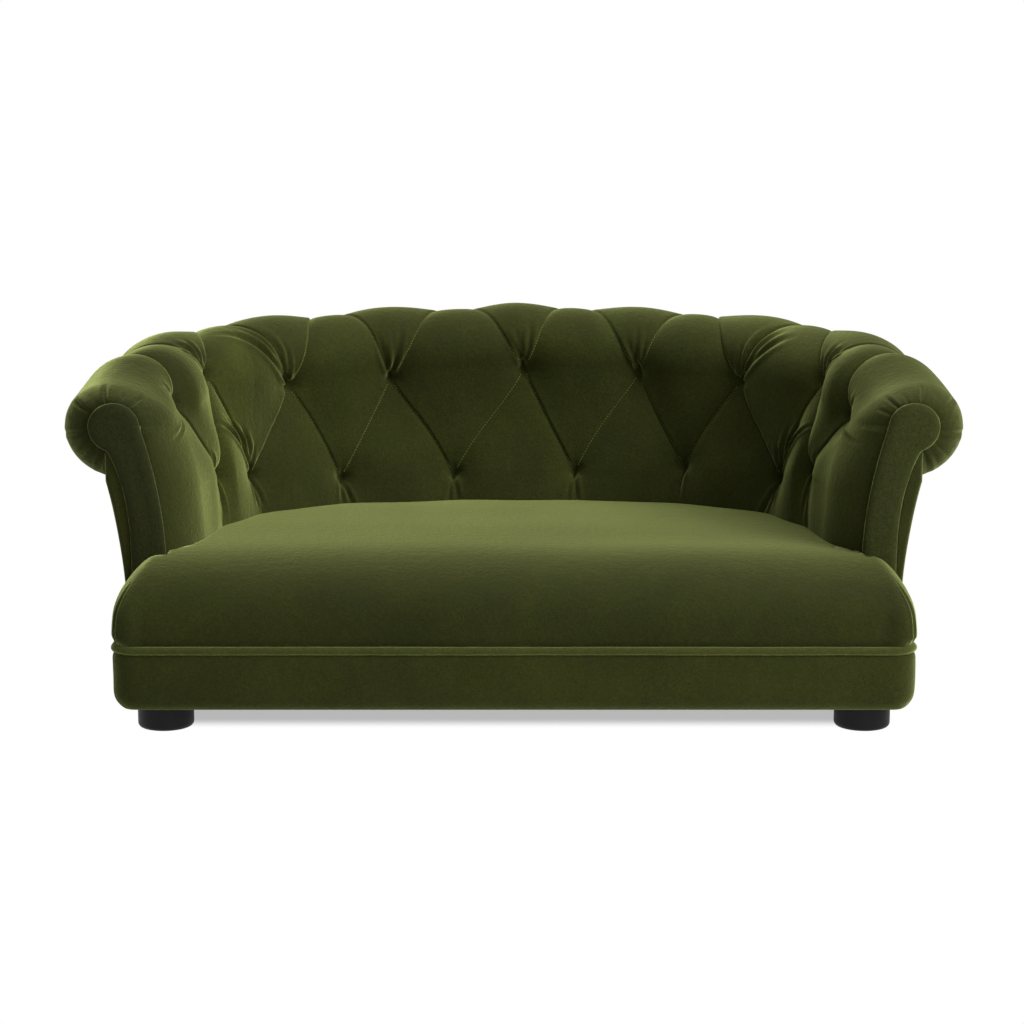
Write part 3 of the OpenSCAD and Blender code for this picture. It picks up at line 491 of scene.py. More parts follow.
def tufted_face(u, v):
    """Points of the tufted face, in millimetres, for places of the regular lattice."""
    du, dv = drift(u, v)
    pu, pv = u + du, v + dv
    rise = tuft_relief(u, v) + crease_relief(u, v) + hand_waves(pu * PITCH, pv * V_SCALE) * (v > 0.3)
    # the arms are stuffed more fully low down on the inside, and less on the shoulder of the roll
    on_arm = smoothstep(2.3, 3.5, np.abs(u))
    rise = rise + on_arm * (FULL_LOW * hill(v - 1.1, 0.55) - FLAT_SHOULDER * hill(v - 2.0, 0.35))
    # the roll grows thinner towards the arm fronts
    slim = SLIM + SLIM_TOP * hill(v - 2.5, 0.42)
    rise = rise - slim * (1 - smoothstep(0, SLIM_REACH, to_front(u))) * smoothstep(1.7, 2.25, v)
    off, z = fold_point(pu, pv)
    dir_off, dir_z = out_dir(pu, pv)
    inward_off, inward_z = core_point(pu, pv)
    share = drawn_in(pu, pv)
    off, z = off + rise * dir_off, z + rise * dir_z
    gather = scroll_pleats(pu, pv)
    off, z = mix(off, inward_off, share) + gather * dir_off, mix(z, inward_z, share) + gather * dir_z
    return place(pu, off, z)


print("the face at the middle of the back", tufted_face(np.array(0.0), np.array(2.5)).round(1))

# %% The three tufted covers
SPANS = {"back": (-U_SPLIT, U_SPLIT), "left": (-DIAMONDS, -U_SPLIT), "right": (U_SPLIT, DIAMONDS)}
TINY = 1e-6


def in_span(us, part):
    """Which of the columns belong to the back, the left arm or the right arm."""
    low, high = SPANS[part]
    return (us > low - TINY) & (us < high + TINY)


def tufted_cover():
    us = np.arange(-DIAMONDS * FINE, DIAMONDS * FINE + 1) / FINE
    vs = np.arange(0, 2 * FINE + 1) * 2 / FINE
    u, v = np.meshgrid(us, vs, indexing="ij")
    return us, vs, tufted_face(u, v)


def hidden_rows(us, top):
    """The side of a pad that nobody sees: round the foam of the roll and down the wall."""
    rows = [place(us, BOARD_OUT + CLEAR, top + CLEAR)]
    for angle in (0, 45, 90, 135, 180):
        rows.append(place(us, *round_a_middle(core_mid(us), CORE_R + CLEAR, math.radians(angle))))
    rows.append(place(us, frame_in(top) - CLEAR, top + CLEAR))
    rows.append(place(us, frame_in(SEAT_Z) - CLEAR, SEAT_Z))
    return np.stack(rows, 1)


def tufted_piece(name, us, vs, grid, normals, pick, top):
    """One closed pad from its columns of the grid, with the smooth normals of the whole."""
    cols = np.nonzero(pick)[0]
    face = grid[cols]
    hidden = hidden_rows(us[cols], top)
    columns, rows, extra = len(cols), len(vs), hidden.shape[1]
    points = np.concatenate([face.reshape(-1, 3), hidden.reshape(-1, 3)])
    first = columns * rows
    # each square of the face is parted along the diagonal that runs with the nearer pleat
    uc, vc = (us[cols][:-1] + us[cols][1:]) / 2, (vs[:-1] + vs[1:]) / 2
    p, q = lattice(*np.meshgrid(uc, vc, indexing="ij"))
    near_p = np.abs(whole_gap(p)) < np.abs(whole_gap(q))
    quads = grid_faces(columns, rows)
    halves = np.where(near_p.reshape(-1, 1), quads[:, [0, 1, 3, 1, 2, 3]], quads[:, [0, 1, 2, 0, 2, 3]])
    faces = halves.reshape(-1, 3).tolist() + grid_faces(columns, extra, start=first).tolist()
    low_row, back_top = np.arange(columns) * rows, first + np.arange(columns) * extra
    top_row, back_low = low_row + rows - 1, back_top + extra - 1
    for i in range(columns - 1):
        faces.append([top_row[i], top_row[i + 1], back_top[i + 1], back_top[i]])
        faces.append([back_low[i], back_low[i + 1], low_row[i + 1], low_row[i]])
    for i, turn in ((0, 1), (columns - 1, -1)):
        cap = [i * rows + j for j in range(rows)] + [first + i * extra + j for j in range(extra)]
        faces.append(cap[::turn])
    piece = new_object(name, points, faces)
    hidden_normals = face_normals(points[first:], grid_faces(columns, extra))
    shading = np.concatenate([normals[cols].reshape(-1, 3), hidden_normals])
    piece.data.normals_split_custom_set_from_vertices(shading.tolist())
    return piece


def tufted_pads():
    us, vs, grid = tufted_cover()
    quads = grid_faces(len(us), len(vs))
    normals = face_normals(grid.reshape(-1, 3), quads).reshape(grid.shape)
    back_top = core_mid(U_SPLIT)[1] - CLEAR
    made = {}
    for part, name, node, top in (("back", "tufted_back", "back_pad", back_top),
                                  ("left", "tufted_left_arm", "left_arm_pad", ARM_TOP),
                                  ("right", "tufted_right_arm", "right_arm_pad", ARM_TOP)):
        made[node] = tufted_piece(name, us, vs, grid, normals, in_span(us, part), top)
    return made, us, vs, grid


pads, PAD_US, PAD_VS, PAD_GRID = tufted_pads()
for node, piece in pads.items():
    print(piece.name, len(piece.data.vertices), "points")

# %% [markdown]
# ## Stitched pleats
#
# On this sofa the straight pleats are sewn, and the stitches show as a fine dotted line in each
# valley. A texture would have to find the valleys again, so each stitch is a small bead of
# thread, laid between neighbouring points of the lattice it belongs to.

# %% Stitches along the pleats
BEAD_SIDES = 5
STITCH_STEP, STITCH_LENGTH, STITCH_FREE = 3.5, 2.2, 11
STITCH_HALF_WIDTH, STITCH_HEIGHT, STITCH_LIFT = 0.5, 0.45, 0.35


def bead(start, end, up, half_width, height):
    """A stitch: a short closed bead between two points, flattened on the cloth."""
    along = end - start
    across = np.cross(along, up)
    across = across / max(np.linalg.norm(across), 1e-9)
    points, faces = [start], []
    for share, size in ((0.22, 0.85), (0.5, 1.0), (0.78, 0.85)):
        middle = start + along * share
        for k in range(BEAD_SIDES):
            turn = 2 * math.pi * k / BEAD_SIDES
            points.append(middle + across * math.cos(turn) * half_width * size
                          + up * math.sin(turn) * height * size)
    points.append(end)
    last = len(points) - 1
    for k in range(BEAD_SIDES):
        nxt = (k + 1) % BEAD_SIDES
        faces.append([0, 1 + nxt, 1 + k])
        for ring in (0, 1):
            a, b = 1 + ring * BEAD_SIDES, 1 + (ring + 1) * BEAD_SIDES
            faces.append([a + k, a + nxt, b + nxt, b + k])
        faces.append([last, 1 + 2 * BEAD_SIDES + k, 1 + 2 * BEAD_SIDES + nxt])
    return points, faces


def pleat_paths():
    """Every sewn pleat between two rows of tufts, as places of the lattice."""
    for n in range(-4, 5):
        for side in (-0.5, 0.5):
            for low in (1, 2):
                u0, u1 = (n + side, n) if low == 1 else (n, n + side)
                if abs(u0) <= 4.3 and abs(u1) <= 4.3:
                    yield u0, u1, low


def along_path(at, run, values):
    """The row of values that belongs to one length along a path."""
    return np.array([np.interp(at, run, values[:, k]) for k in range(3)])


def seam_stitches(name):
    all_points, all_faces = [], []
    for u0, u1, low in pleat_paths():
        t = np.linspace(0, 1, 121)
        u, v = mix(u0, u1, t), low + t
        path = tufted_face(u, v)
        side = tufted_face(u + 0.01, v) - tufted_face(u - 0.01, v)
        rise = tufted_face(u, v + 0.01) - tufted_face(u, v - 0.01)
        up = unit_rows(np.cross(side, rise))
        # round the roll a pleat can turn by more than a right angle; the thread keeps to one side
        up = up * np.sign(up @ up[60])[:, None]
        run = np.append(0, np.cumsum(np.linalg.norm(np.diff(path, axis=0), axis=1)))
        for at in np.arange(STITCH_FREE, run[-1] - STITCH_FREE, STITCH_STEP):
            normal = along_path(at, run, up)
            start, end = [along_path(x, run, path) + normal * STITCH_LIFT for x in (at, at + STITCH_LENGTH)]
            points, faces = bead(start, end, normal, STITCH_HALF_WIDTH, STITCH_HEIGHT)
            first = len(all_points)
            all_points += points
            all_faces += [[first + i for i in f] for f in faces]
    return new_object(name, all_points, all_faces)


stitches = seam_stitches("tufting_seam_stitches")
print("stitch faces", len(stitches.data.polygons))

# %% [markdown]
# ## The seat
#
# The seat is a fixed, crowned slab under velvet. Its cover is drawn down over the front edge to
# the welt, its two wings pass in front of the arm fronts, and at the back it is pushed down into
# the foot of the tufting. The line where the two meet is read off the tufted face itself, so no
# gap can open between them when the tufting changes.

# %% Where the seat meets the tufting
SEAT_RISE, SEAT_CROWN, SEAT_INSET = 77.5, 8.0, 3.5
NOSE_FRONT, NOSE_POWER, CORNER_POWER = 122.0, 2.5, 6.0
SEAT_HALF = HALF_W - SEAT_INSET
BACK_EDGE = BASE_D - WALL_IN_BACK
WING_REAR = FACING_DEPTH - CLEAR
MEET_Z, WING_MIN = 164.0, 48.0


def seat_rear():
    """Where the seat meets the tufted face, as depth over x for the right half."""
    rows = np.arange(len(PAD_VS) // 3)
    found = []
    for column in PAD_GRID[PAD_US >= 0][:, rows]:
        at = np.interp(MEET_Z, column[:, 2], rows)
        found.append([np.interp(at, rows, column[:, 0]), np.interp(at, rows, column[:, 1]) + MID_DEPTH])
    xs, ds = np.array(found).T
    width = FINE // 3 | 1
    kernel = np.ones(width) / width
    x, d = [np.convolve(np.pad(a, width // 2, mode="edge"), kernel, mode="valid") for a in (xs, ds)]
    x[0] = 0.0
    return np.maximum.accumulate(x) + np.arange(len(x)) * 1e-4, d + 1.0


REAR_X, REAR_D = seat_rear()
WING_X = min(REAR_X[-1], HALF_W - WING_MIN)
NOSE_SIDE = SEAT_HALF - WING_X
print("the seat ends", round(float(REAR_D[0])), "mm back; its wings start", round(float(WING_X)), "mm out")

# %% [markdown]
# ## Rings over the nose
#
# The height of the seat over the plan is one smooth function. A plain grid would stretch and
# pinch at the two front corners, so the mesh follows the contours of the height instead: rings
# run round the front and both corners from the welt up over the nose, and a grid fills the top.

# %% Height and contours of the seat
WING_FROM, NOSE_FREE = WING_X + 0.05, 6


def seat_height(x, depth):
    ease_x = np.clip(1 - (SEAT_HALF - np.abs(x)) / NOSE_SIDE, 0, 1)
    ease_y = np.clip(1 - (depth - SEAT_INSET) / NOSE_FRONT, 0, 1)
    edge = (ease_x ** CORNER_POWER + ease_y ** CORNER_POWER) ** (1 / CORNER_POWER)
    nose = np.clip(1 - edge ** NOSE_POWER, 0, 1) ** (1 / NOSE_POWER)
    crown = (1 - (np.abs(x) / SEAT_HALF) ** 3) * (1 - 0.8 * np.clip(2 * depth / BACK_EDGE - 1, -1, 1) ** 2)
    return SEAT_Z + (SEAT_RISE + SEAT_CROWN * crown) * nose


def nose_rings():
    """The contours of the nose for the right half: x, depth and corner angle, from arm to middle."""
    rise = np.radians(np.linspace(0, 90, 30))
    contours = np.cos(rise) ** (2 / NOSE_POWER)
    contours[-1] = 0.0
    side = np.concatenate([[0, 0.012], np.linspace(0.06, 1, 12)])
    meet = 0.5 ** (1 / CORNER_POWER)
    half = CORNER_POWER / 2
    turn = np.concatenate([np.arcsin(np.linspace(0.6, meet, 22)[1:] ** half),
                           np.arccos(np.linspace(meet, 0, 56)[1:] ** half)])
    front = np.linspace(WING_X, 0, 92)[1:]
    xs, ds = [], []
    for e in contours:
        end = min(SEAT_INSET + NOSE_FRONT * (1 - 0.6 * e), WING_REAR)
        depth = mix(WING_REAR, end, side)
        along = 1 - (depth - SEAT_INSET) / NOSE_FRONT
        across = np.clip(e ** CORNER_POWER - along ** CORNER_POWER, 0, None) ** (1 / CORNER_POWER)
        x_side = WING_X + NOSE_SIDE * across
        x_turn = WING_X + NOSE_SIDE * e * np.cos(turn).clip(0) ** (1 / half)
        d_turn = SEAT_INSET + NOSE_FRONT * (1 - e * np.sin(turn) ** (1 / half))
        d_turn = np.where(x_turn > WING_FROM, np.minimum(d_turn, WING_REAR), d_turn)
        x, d = np.concatenate([x_side, x_turn, front]), SEAT_INSET + NOSE_FRONT * (1 - e)
        d = np.concatenate([depth, d_turn, np.full(len(front), d)])
        limit = np.where(x > WING_FROM, WING_REAR, np.interp(x, REAR_X, REAR_D) - NOSE_FREE)
        xs.append(x)
        ds.append(np.minimum(d, limit))
    angle = np.concatenate([np.zeros(len(side)), turn, np.full(len(front), np.pi / 2)])
    return np.array(xs).T, np.array(ds).T, angle, len(side) + len(turn) - 1


print("top of the seat", round(float(seat_height(0.0, BACK_EDGE / 2)), 1), "mm")

# %% Points of the seat
REAR_TUCK, TUCK_WIDTH = 9.0, 11


def seat_points():
    """All points of the cover from arm to arm, its faces, its open rear edge and its corner angle."""
    x, depth, angle, first = nose_rings()
    x, depth = np.concatenate([x, -x[-2::-1]]), np.concatenate([depth, depth[-2::-1]])
    angle = np.concatenate([angle, angle[-2::-1]])
    columns, rows = x.shape
    points = [rows_of(x, depth - MID_DEPTH, seat_height(x, depth)).reshape(-1, 3)]
    faces = [grid_faces(columns, rows)]
    index = np.arange(columns * rows).reshape(columns, rows)
    inner = np.arange(first, columns - first)
    start_x, start_d = x[inner, -1], depth[inner, -1]
    rear = np.interp(np.abs(start_x), REAR_X, REAR_D)
    share = np.linspace(0, 1, 80)[1:]
    top = start_d[:, None] + (rear - 2.0 - start_d)[:, None] * share
    top = np.concatenate([top, (rear - 0.6)[:, None], rear[:, None]], 1)
    wide = start_x[:, None]
    tuck = REAR_TUCK * smoothstep(1, 22, WING_X - np.abs(start_x))[:, None]
    z = seat_height(wide, top) - tuck * np.clip(1 - (rear[:, None] - top) / TUCK_WIDTH, 0, 1) ** 2.4
    points.append(rows_of(wide, top - MID_DEPTH, z).reshape(-1, 3))
    more = columns * rows + np.arange(top.size).reshape(top.shape)
    sheet = np.concatenate([index[inner, -1][:, None], more], 1)
    a, b = sheet[:-1, :-1], sheet[1:, :-1]
    faces.append(rows_of(a, b, sheet[1:, 1:], sheet[:-1, 1:]).reshape(-1, 4))
    edge = np.concatenate([index[0], index[1:first + 1, -1], sheet[0, 1:], sheet[1:, -1],
                           sheet[-1, -2::-1], index[columns - first:, -1], index[-1, -2::-1]])
    angles = np.concatenate([np.repeat(angle, rows), np.full(top.size, np.pi / 2)])
    return np.concatenate(points), np.concatenate(faces), edge, angles, index[:, 0]


SEAT_SHEET = seat_points()
print("points of the seat", len(SEAT_SHEET[0]))

# %% [markdown]
# ## Fullness, seams and the closed seat
#
# Wadding under velvet is never quite even, so a low random wave moves the smooth top, fine
# gathers show near the welt, the sides swell a little behind the nose, and a sewn seam runs up
# each front corner. The sheet is then closed with a flat underside and welded into one piece.

# %% Seat cover
SEAM_ANGLE, SEAM_EDGE, SEAM_WIDTH, SEAM_RISE = math.radians(52), 0.09, 0.045, 1.2
SIDE_FULL = 8.0
seat_waves = waves(5, 12, 110, 300, 0.6)
seat_gathers = waves(8, 8, 12, 30, 0.35)


def seat_cover_piece():
    points, faces, edge, angle, foot = SEAT_SHEET
    normals = face_normals(points, faces)
    # the last points lie on the top, whose normals have to point up
    if normals[len(points) - 200, 2] < 0:
        normals, faces = -normals, faces[:, ::-1]
    x, y, z = points.T
    rise = seat_waves(x, y + z) + seat_gathers(x, y * 3) * np.exp(-(z - SEAT_Z) / 16.0)
    at_side = smoothstep(0.3, 0.9, 1 - (SEAT_HALF - np.abs(x)) / NOSE_SIDE)
    above = z - SEAT_Z
    full_side = SIDE_FULL * at_side * (1 - smoothstep(26, 76, above)) * smoothstep(-7, 7, above)
    # the boxing seam of each front corner: a valley between two low ridges
    from_seam = np.abs(angle - SEAM_ANGLE)
    seam = hill(from_seam - SEAM_EDGE, SEAM_WIDTH) - 2.0 * hill(from_seam, SEAM_WIDTH)
    rise = rise + SEAM_RISE * seam * (1 - smoothstep(0.55, 0.8, above / SEAT_RISE))
    points = points + normals * (rise * smoothstep(0, 6, above) + full_side)[:, None]
    count = len(points)
    under = points[edge] * [1, 1, 0] + [0, 0, SEAT_Z]
    wall = [[edge[i], edge[i + 1], count + i + 1, count + i] for i in range(len(edge) - 1)]
    bottom = [list(foot) + [count + i for i in range(len(edge) - 1, -1, -1)]]
    piece = new_object("seat_cushion", np.concatenate([points, under]), faces.tolist() + wall + bottom)
    weld(piece, 0.02)
    return piece


def weld(piece, reach_mm):
    """Joins points that lie on each other and turns all faces outwards."""
    work = bmesh.new()
    work.from_mesh(piece.data)
    bmesh.ops.remove_doubles(work, verts=work.verts, dist=reach_mm * MM)
    bmesh.ops.dissolve_degenerate(work, edges=work.edges, dist=1e-6)
    bmesh.ops.recalc_face_normals(work, faces=work.faces)
    work.to_mesh(piece.data)
    work.free()
    piece.data.update()


seat = seat_cover_piece()
print("seat", len(seat.data.vertices), "points")

# %% [markdown]
# ## The scroll-shaped arm fronts
#
# Each arm ends in a flat padded board with a round head, the scroll, covered in the same velvet
# and pressed over the raw end of the arm. A flat cut-out would look like card, so the outline is
# stepped inwards in rings that turn over a soft edge and rise to a slightly full face.

# %% Arm fronts
FACING_R, FACING_W, FACING_OUT_LOW, FACING_BEND = 26.0, 35.5, 10.5, 58.0
HEAD_ROUND, NECK = 0.92, math.radians(-75.0)
# how far each ring of the edge lies inwards, and how far behind the face
RIM = ((0.6, 8.2), (-0.2, 7.2), (-0.5, 5.8), (-0.4, 4.5), (0.2, 3.2),
       (1.3, 2.1), (3.0, 1.2), (5.2, 0.5), (7.6, 0.12), (10.0, 0.0))


def scroll_outline():
    mid_off, mid_z = core_mid(DIAMONDS)
    low_in = -FACING_OUT_LOW - FACING_W

    def edge(low, high_off, high_z, power):
        s = np.linspace(0, 1, 60)
        return rows_of(mix(low, high_off, s ** power), mix(SEAT_Z + FACING_BEND, high_z, s))
    inner = edge(low_in, mid_off - FACING_R, mid_z, 2.0)
    outer = edge(-FACING_OUT_LOW, *round_a_middle((mid_off, mid_z), FACING_R, NECK), 2.9)
    turn = np.linspace(np.pi, NECK, 90)[1:-1]
    head = rows_of(mid_off + FACING_R * np.cos(turn),
                   mid_z + FACING_R * np.sin(turn) * np.where(turn > 0, HEAD_ROUND, 1.0))
    low = np.linspace(SEAT_Z, SEAT_Z + FACING_BEND, 20)[:-1]
    outline = np.concatenate([rows_of(low_in, low), inner, head, outer[::-1],
                              rows_of(-FACING_OUT_LOW, low[::-1])])
    run = np.append(0, np.cumsum(np.hypot(*np.diff(outline, axis=0).T)))
    even = np.linspace(0, run[-1], 260)
    outline = rows_of(*(np.interp(even, run, outline[:, k]) for k in range(2)))
    for _ in range(3):
        outline[1:-1] = (outline[:-2] + 2 * outline[1:-1] + outline[2:]) / 4
    return outline


def arm_front(name, side):
    outline = scroll_outline()
    step = np.roll(outline, -1, 0) - np.roll(outline, 1, 0)
    inward = unit_rows(rows_of(step[:, 1], -step[:, 0]))
    bump = waves(21, 6, 20, 70, 0.25)
    rings = []
    for inset, back in RIM:
        ring = outline + inward * inset
        ring[:, 1] = np.maximum(ring[:, 1], SEAT_Z)
        depth = FACING_DEPTH + back + (bump(ring[:, 0], ring[:, 1]) if back < 3 else 0)
        depth = np.maximum(depth, FACING_DEPTH - 0.6)
        rings.append(rows_of(side * (HALF_W + ring[:, 0]), depth - MID_DEPTH, ring[:, 1]))
    count = len(outline)
    points = np.concatenate(rings)
    faces = grid_faces(len(RIM), count, closed_rows=True).tolist()
    faces += [list(range((len(RIM) - 1) * count, len(RIM) * count)), list(range(count))[::-1]]
    piece = new_object(name, points, faces)
    weld(piece, 0.01)
    return piece


fronts = {"left_facing": arm_front("left_arm_front", -1), "right_facing": arm_front("right_arm_front", 1)}
for piece in fronts.values():
    print(piece.name, len(piece.data.polygons), "faces")

# %% [markdown]
# ## Outside covers
#
# Outside, plain velvet hangs from the roll to the welt in a slight flare, and at the arm fronts
# its edge is folded in behind the board. It is a section swept along the plan line, which is
# exact and needs few faces, and a low random wave keeps it from looking machined.

# %% Sweeps round the base
def closed_sweep(name, rings, normals=None, closed=False):
    """A closed piece from rings of points, one ring for each place along the sweep."""
    rings = np.asarray(rings)
    columns, rows = rings.shape[:2]
    faces = grid_faces(columns, rows, closed_rows=True, closed_columns=closed).tolist()
    if not closed:
        faces.append(list(range(rows)))
        faces.append([(columns - 1) * rows + j for j in range(rows)][::-1])
    piece = new_object(name, rings.reshape(-1, 3), faces)
    if normals is not None:
        piece.data.normals_split_custom_set_from_vertices(normals.reshape(-1, 3).tolist())
    return piece


def ring_normals(rings, closed=False):
    columns, rows = rings.shape[:2]
    n = face_normals(rings.reshape(-1, 3), grid_faces(columns, rows, True, closed))
    return n.reshape(rings.shape)


print("a ring of 8 points, swept one step, has", len(grid_faces(2, 8, closed_rows=True)), "side faces")

# %% Outside covers
TURN_STEPS, TUCK, COVER_LIFT, HEM_IN = 7, 2.9, 2.5, 0.8


def turned_edge(off, z, side):
    """The cover's front edge, folded in over the arm as far as the arm front, the end ring first."""
    outline = scroll_outline()
    edge = outline[np.argmax(outline[:, 0]):]
    front = np.interp(z, edge[::-1, 1], edge[::-1, 0])
    full = np.maximum(off - front - 0.4, 0.3)

    def strip(at, depth):
        return rows_of(side * (HALF_W + at), depth - MID_DEPTH, z)
    tucked = off - full - TUCK
    rings = [np.concatenate([strip(tucked, PATH_FRONT - 0.08), strip(tucked, PATH_FRONT - 0.02)[::-1]])]
    for share in np.linspace(1, 0, TURN_STEPS - 1, endpoint=False):
        reach = full * share
        bend = 1 - (1 - np.clip(reach / COVER_T, 0, 1)) ** 2
        skin = strip(off - reach, PATH_FRONT - COVER_T * bend)
        back = strip(np.minimum(off - COVER_T, off - reach), PATH_FRONT - 0.1)
        rings.append(np.concatenate([skin, back[::-1]]))
    return np.array(rings)


def outside_covers():
    steps = 24
    us = np.arange(-DIAMONDS * steps, DIAMONDS * steps + 1) / steps
    under = np.interp(us, PAD_US, PAD_GRID[:, -1, 2]) - CLEAR
    under = under + COVER_LIFT * smoothstep(3.85, 4.0, np.abs(us))
    u, s = np.meshgrid(us, np.linspace(0, 1, 26), indexing="ij")
    z = mix(SEAT_Z, under[:, None], s)
    underside = roll_mid(us)[1] - roll_r(us) * math.sin(math.radians(-LAST_ANGLE))
    flare = np.clip((z - SEAT_Z) / (underside - SEAT_Z)[:, None], 0, 1) ** 2.2
    soft = waves(31, 10, 60, 220, 0.7)(u * PITCH, z) * np.sin(np.pi * s)
    plain = mix(-OUT_LOW, OUT_HIGH, flare)
    off = plain + soft * 0.6
    off[:, 0] -= HEM_IN
    rings = np.concatenate([place(u, off, z), place(u, plain - COVER_T, z)[:, ::-1]], 1)
    rings = np.concatenate([turned_edge(off[0], z[0], -1), rings, turned_edge(off[-1], z[-1], 1)[::-1]])
    us = np.concatenate([[us[0]] * TURN_STEPS, us, [us[-1]] * TURN_STEPS])
    normals = ring_normals(rings)
    made = {}
    for part, name, node in (("back", "outside_back_cover", "outside_back"),
                             ("left", "left_outside_cover", "left_outside_arm"),
                             ("right", "right_outside_cover", "right_outside_arm")):
        pick = in_span(us, part)
        made[node] = closed_sweep(name, rings[pick], normals[pick])
    return made


covers = outside_covers()
print("outside covers", [piece.name for piece in covers.values()])

# %% [markdown]
# ## Base band and welt
#
# The band under the seat is a strip of velvet over thin wadding, folded under the frame in a hem,
# and the welt is a cord in its own sleeve of velvet. Both run round the whole base, so they are
# swept along one closed loop, and the band is then parted at the places where its seams would be.

# %% Stations round the base
BACK, RIGHT, FRONT, LEFT = range(4)


def loop_stations():
    """Places, normals and running length round the whole base, from the middle of the back."""
    u, depth = np.linspace(0, DIAMONDS, 220), np.linspace(92, CORNER_R, 18)
    turn = np.radians(np.linspace(0, 90, 13))[1:]
    across = np.linspace(HALF_W - CORNER_R, 0, 90)[1:]
    line = place(u, 0.0, 0.0)[:, :2]
    corner_x, corner_d = HALF_W - CORNER_R + CORNER_R * np.cos(turn), CORNER_R - CORNER_R * np.sin(turn)
    # each stretch of the right half: points, outward direction and which band it belongs to
    stretches = (
        (line, place(u, 1.0, 0.0)[:, :2] - line, np.where(u <= U_SPLIT + TINY, BACK, RIGHT)),
        (rows_of(HALF_W, depth - MID_DEPTH), [1.0, 0.0], RIGHT),
        (rows_of(corner_x, corner_d - MID_DEPTH), rows_of(np.cos(turn), -np.sin(turn)), FRONT),
        (rows_of(across, -MID_DEPTH), [0.0, -1.0], FRONT))
    half = np.concatenate([xy for xy, out, own in stretches])
    half_out = np.concatenate([np.broadcast_to(out, xy.shape) for xy, out, own in stretches])
    kind = np.concatenate([np.broadcast_to(own, len(xy)) for xy, out, own in stretches])
    other = slice(-2, 0, -1)
    points = np.concatenate([half, half[other] * [-1, 1]])
    out = np.concatenate([half_out, half_out[other] * [-1, 1]])
    kind = np.concatenate([kind, np.where(kind[other] == RIGHT, LEFT, kind[other])])
    return points, out, kind, np.append(0, np.cumsum(np.linalg.norm(np.diff(points, axis=0), axis=1)))


LOOP, LOOP_OUT, LOOP_KIND, LOOP_RUN = loop_stations()
print("stations", len(LOOP), "round", round(LOOP_RUN[-1]), "mm")

# %% Base band
BASE_GAP, BAND_H, BAND_T, BAND_SAG = 28.0, 54.0, 7.0, 4.0
HEM_W, HEM_T = 11.0, 1.7


def loop_rings(off, z):
    """off and z have one row for each station and one column for each point of the section."""
    xy = LOOP[:, None, :] + off[..., None] * LOOP_OUT[:, None, :]
    return np.concatenate([xy, z[..., None]], -1)


def band_rings():
    t = np.concatenate([[0, 0.01, 0.03, 0.06, 0.10, 0.15], np.linspace(0.21, 0.9, 12),
                        [0.94, 0.97, 0.99, 1.0]])
    full = -BAND_T * (1.5 * np.clip(1 - t / 0.40, 0, 1) ** 3.2 + 0.25 * np.clip((t - 0.9) / 0.1, 0, 1) ** 2)
    z = mix(BASE_GAP - BAND_SAG, BASE_GAP + BAND_H, t)
    run = LOOP_RUN[:, None]
    slack = waves(41, 10, 60, 210, 0.45)(run, z * 1.5) * np.sin(np.pi * t)
    puckers = waves(43, 9, 9, 24, 0.35)(run, z * 0.2) * np.exp(-t / 0.10) * (t > 0.005)
    inner_off = [-BAND_T, -BAND_T, -BAND_T - HEM_W, -BAND_T - HEM_W]
    inner_z = [BASE_GAP + BAND_H, BASE_GAP + HEM_T, BASE_GAP + HEM_T, BASE_GAP]
    off = np.concatenate([full + slack + puckers, np.tile(inner_off, (len(LOOP), 1))], 1)
    return loop_rings(off, np.tile(np.append(z, inner_z), (len(LOOP), 1)))


def base_band():
    rings = band_rings()
    normals = ring_normals(rings, closed=True)
    made = {}
    for kind, side in enumerate(("back", "right", "front", "left")):
        own = np.nonzero(LOOP_KIND == kind)[0]
        if kind == BACK:
            # the loop starts in the middle of the back, so the back's two halves change places
            breaks = np.nonzero(np.diff(own) > 1)[0][0] + 1
            own = np.roll(own, -breaks)
        own = np.append(own, (own[-1] + 1) % len(LOOP))
        made[side + "_band"] = closed_sweep(side + "_base_band", rings[own], normals[own])
    return made


bands = base_band()
print("bands", [piece.name for piece in bands.values()])

# %% Welt
WELT_D = 8.4


def welt_piece(sides=14):
    turn = np.linspace(0, 2 * np.pi, sides, endpoint=False)
    r = WELT_D / 2 + waves(51, 8, 14, 60, 0.12)(LOOP_RUN[:, None], turn * 4)
    off = -BAND_T + WELT_D / 2 + r * np.cos(turn)
    z = BASE_GAP + BAND_H + CLEAR + WELT_D / 2 + r * np.sin(turn) * 0.98
    return closed_sweep("base_welt_cord", loop_rings(off, z), closed=True)


welt = welt_piece()
print("welt", len(welt.data.polygons), "faces")

# %% [markdown]
# ## Tying the pieces to the frame
#
# Each piece now rides on the frame and says which solids of the frame it stands for, so those are hidden.

# %% Ride and replace
SEAT_FILL, TUFTED_FILL = 0.85, 0.7


def dress(piece, finish, *stands_for, fill=None):
    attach(piece, "root")
    if stands_for:
        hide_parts(*stands_for)


dress(seat, "velvet", "seat_cover", fill=SEAT_FILL)
for node, piece in pads.items():
    dress(piece, "velvet", node, fill=TUFTED_FILL)
for node, piece in {**covers, **bands}.items():
    dress(piece, "velvet", node)
for node, piece in fronts.items():
    dress(piece, "velvet_trim", node)
dress(welt, "velvet_trim", "base_welt")
dress(stitches, "velvet")

# %% [markdown]
# ## A small language for materials
#
# Every finish is a graph of nodes. Writing each node as one call, with its inputs given either as
# numbers or as the outputs of other nodes, keeps the graphs short enough to read. All textures
# use object coordinates, in metres, so a scale of 1000 is a grain of about a millimetre.

# %% Material helpers
OBJECT_COORDINATES = 3


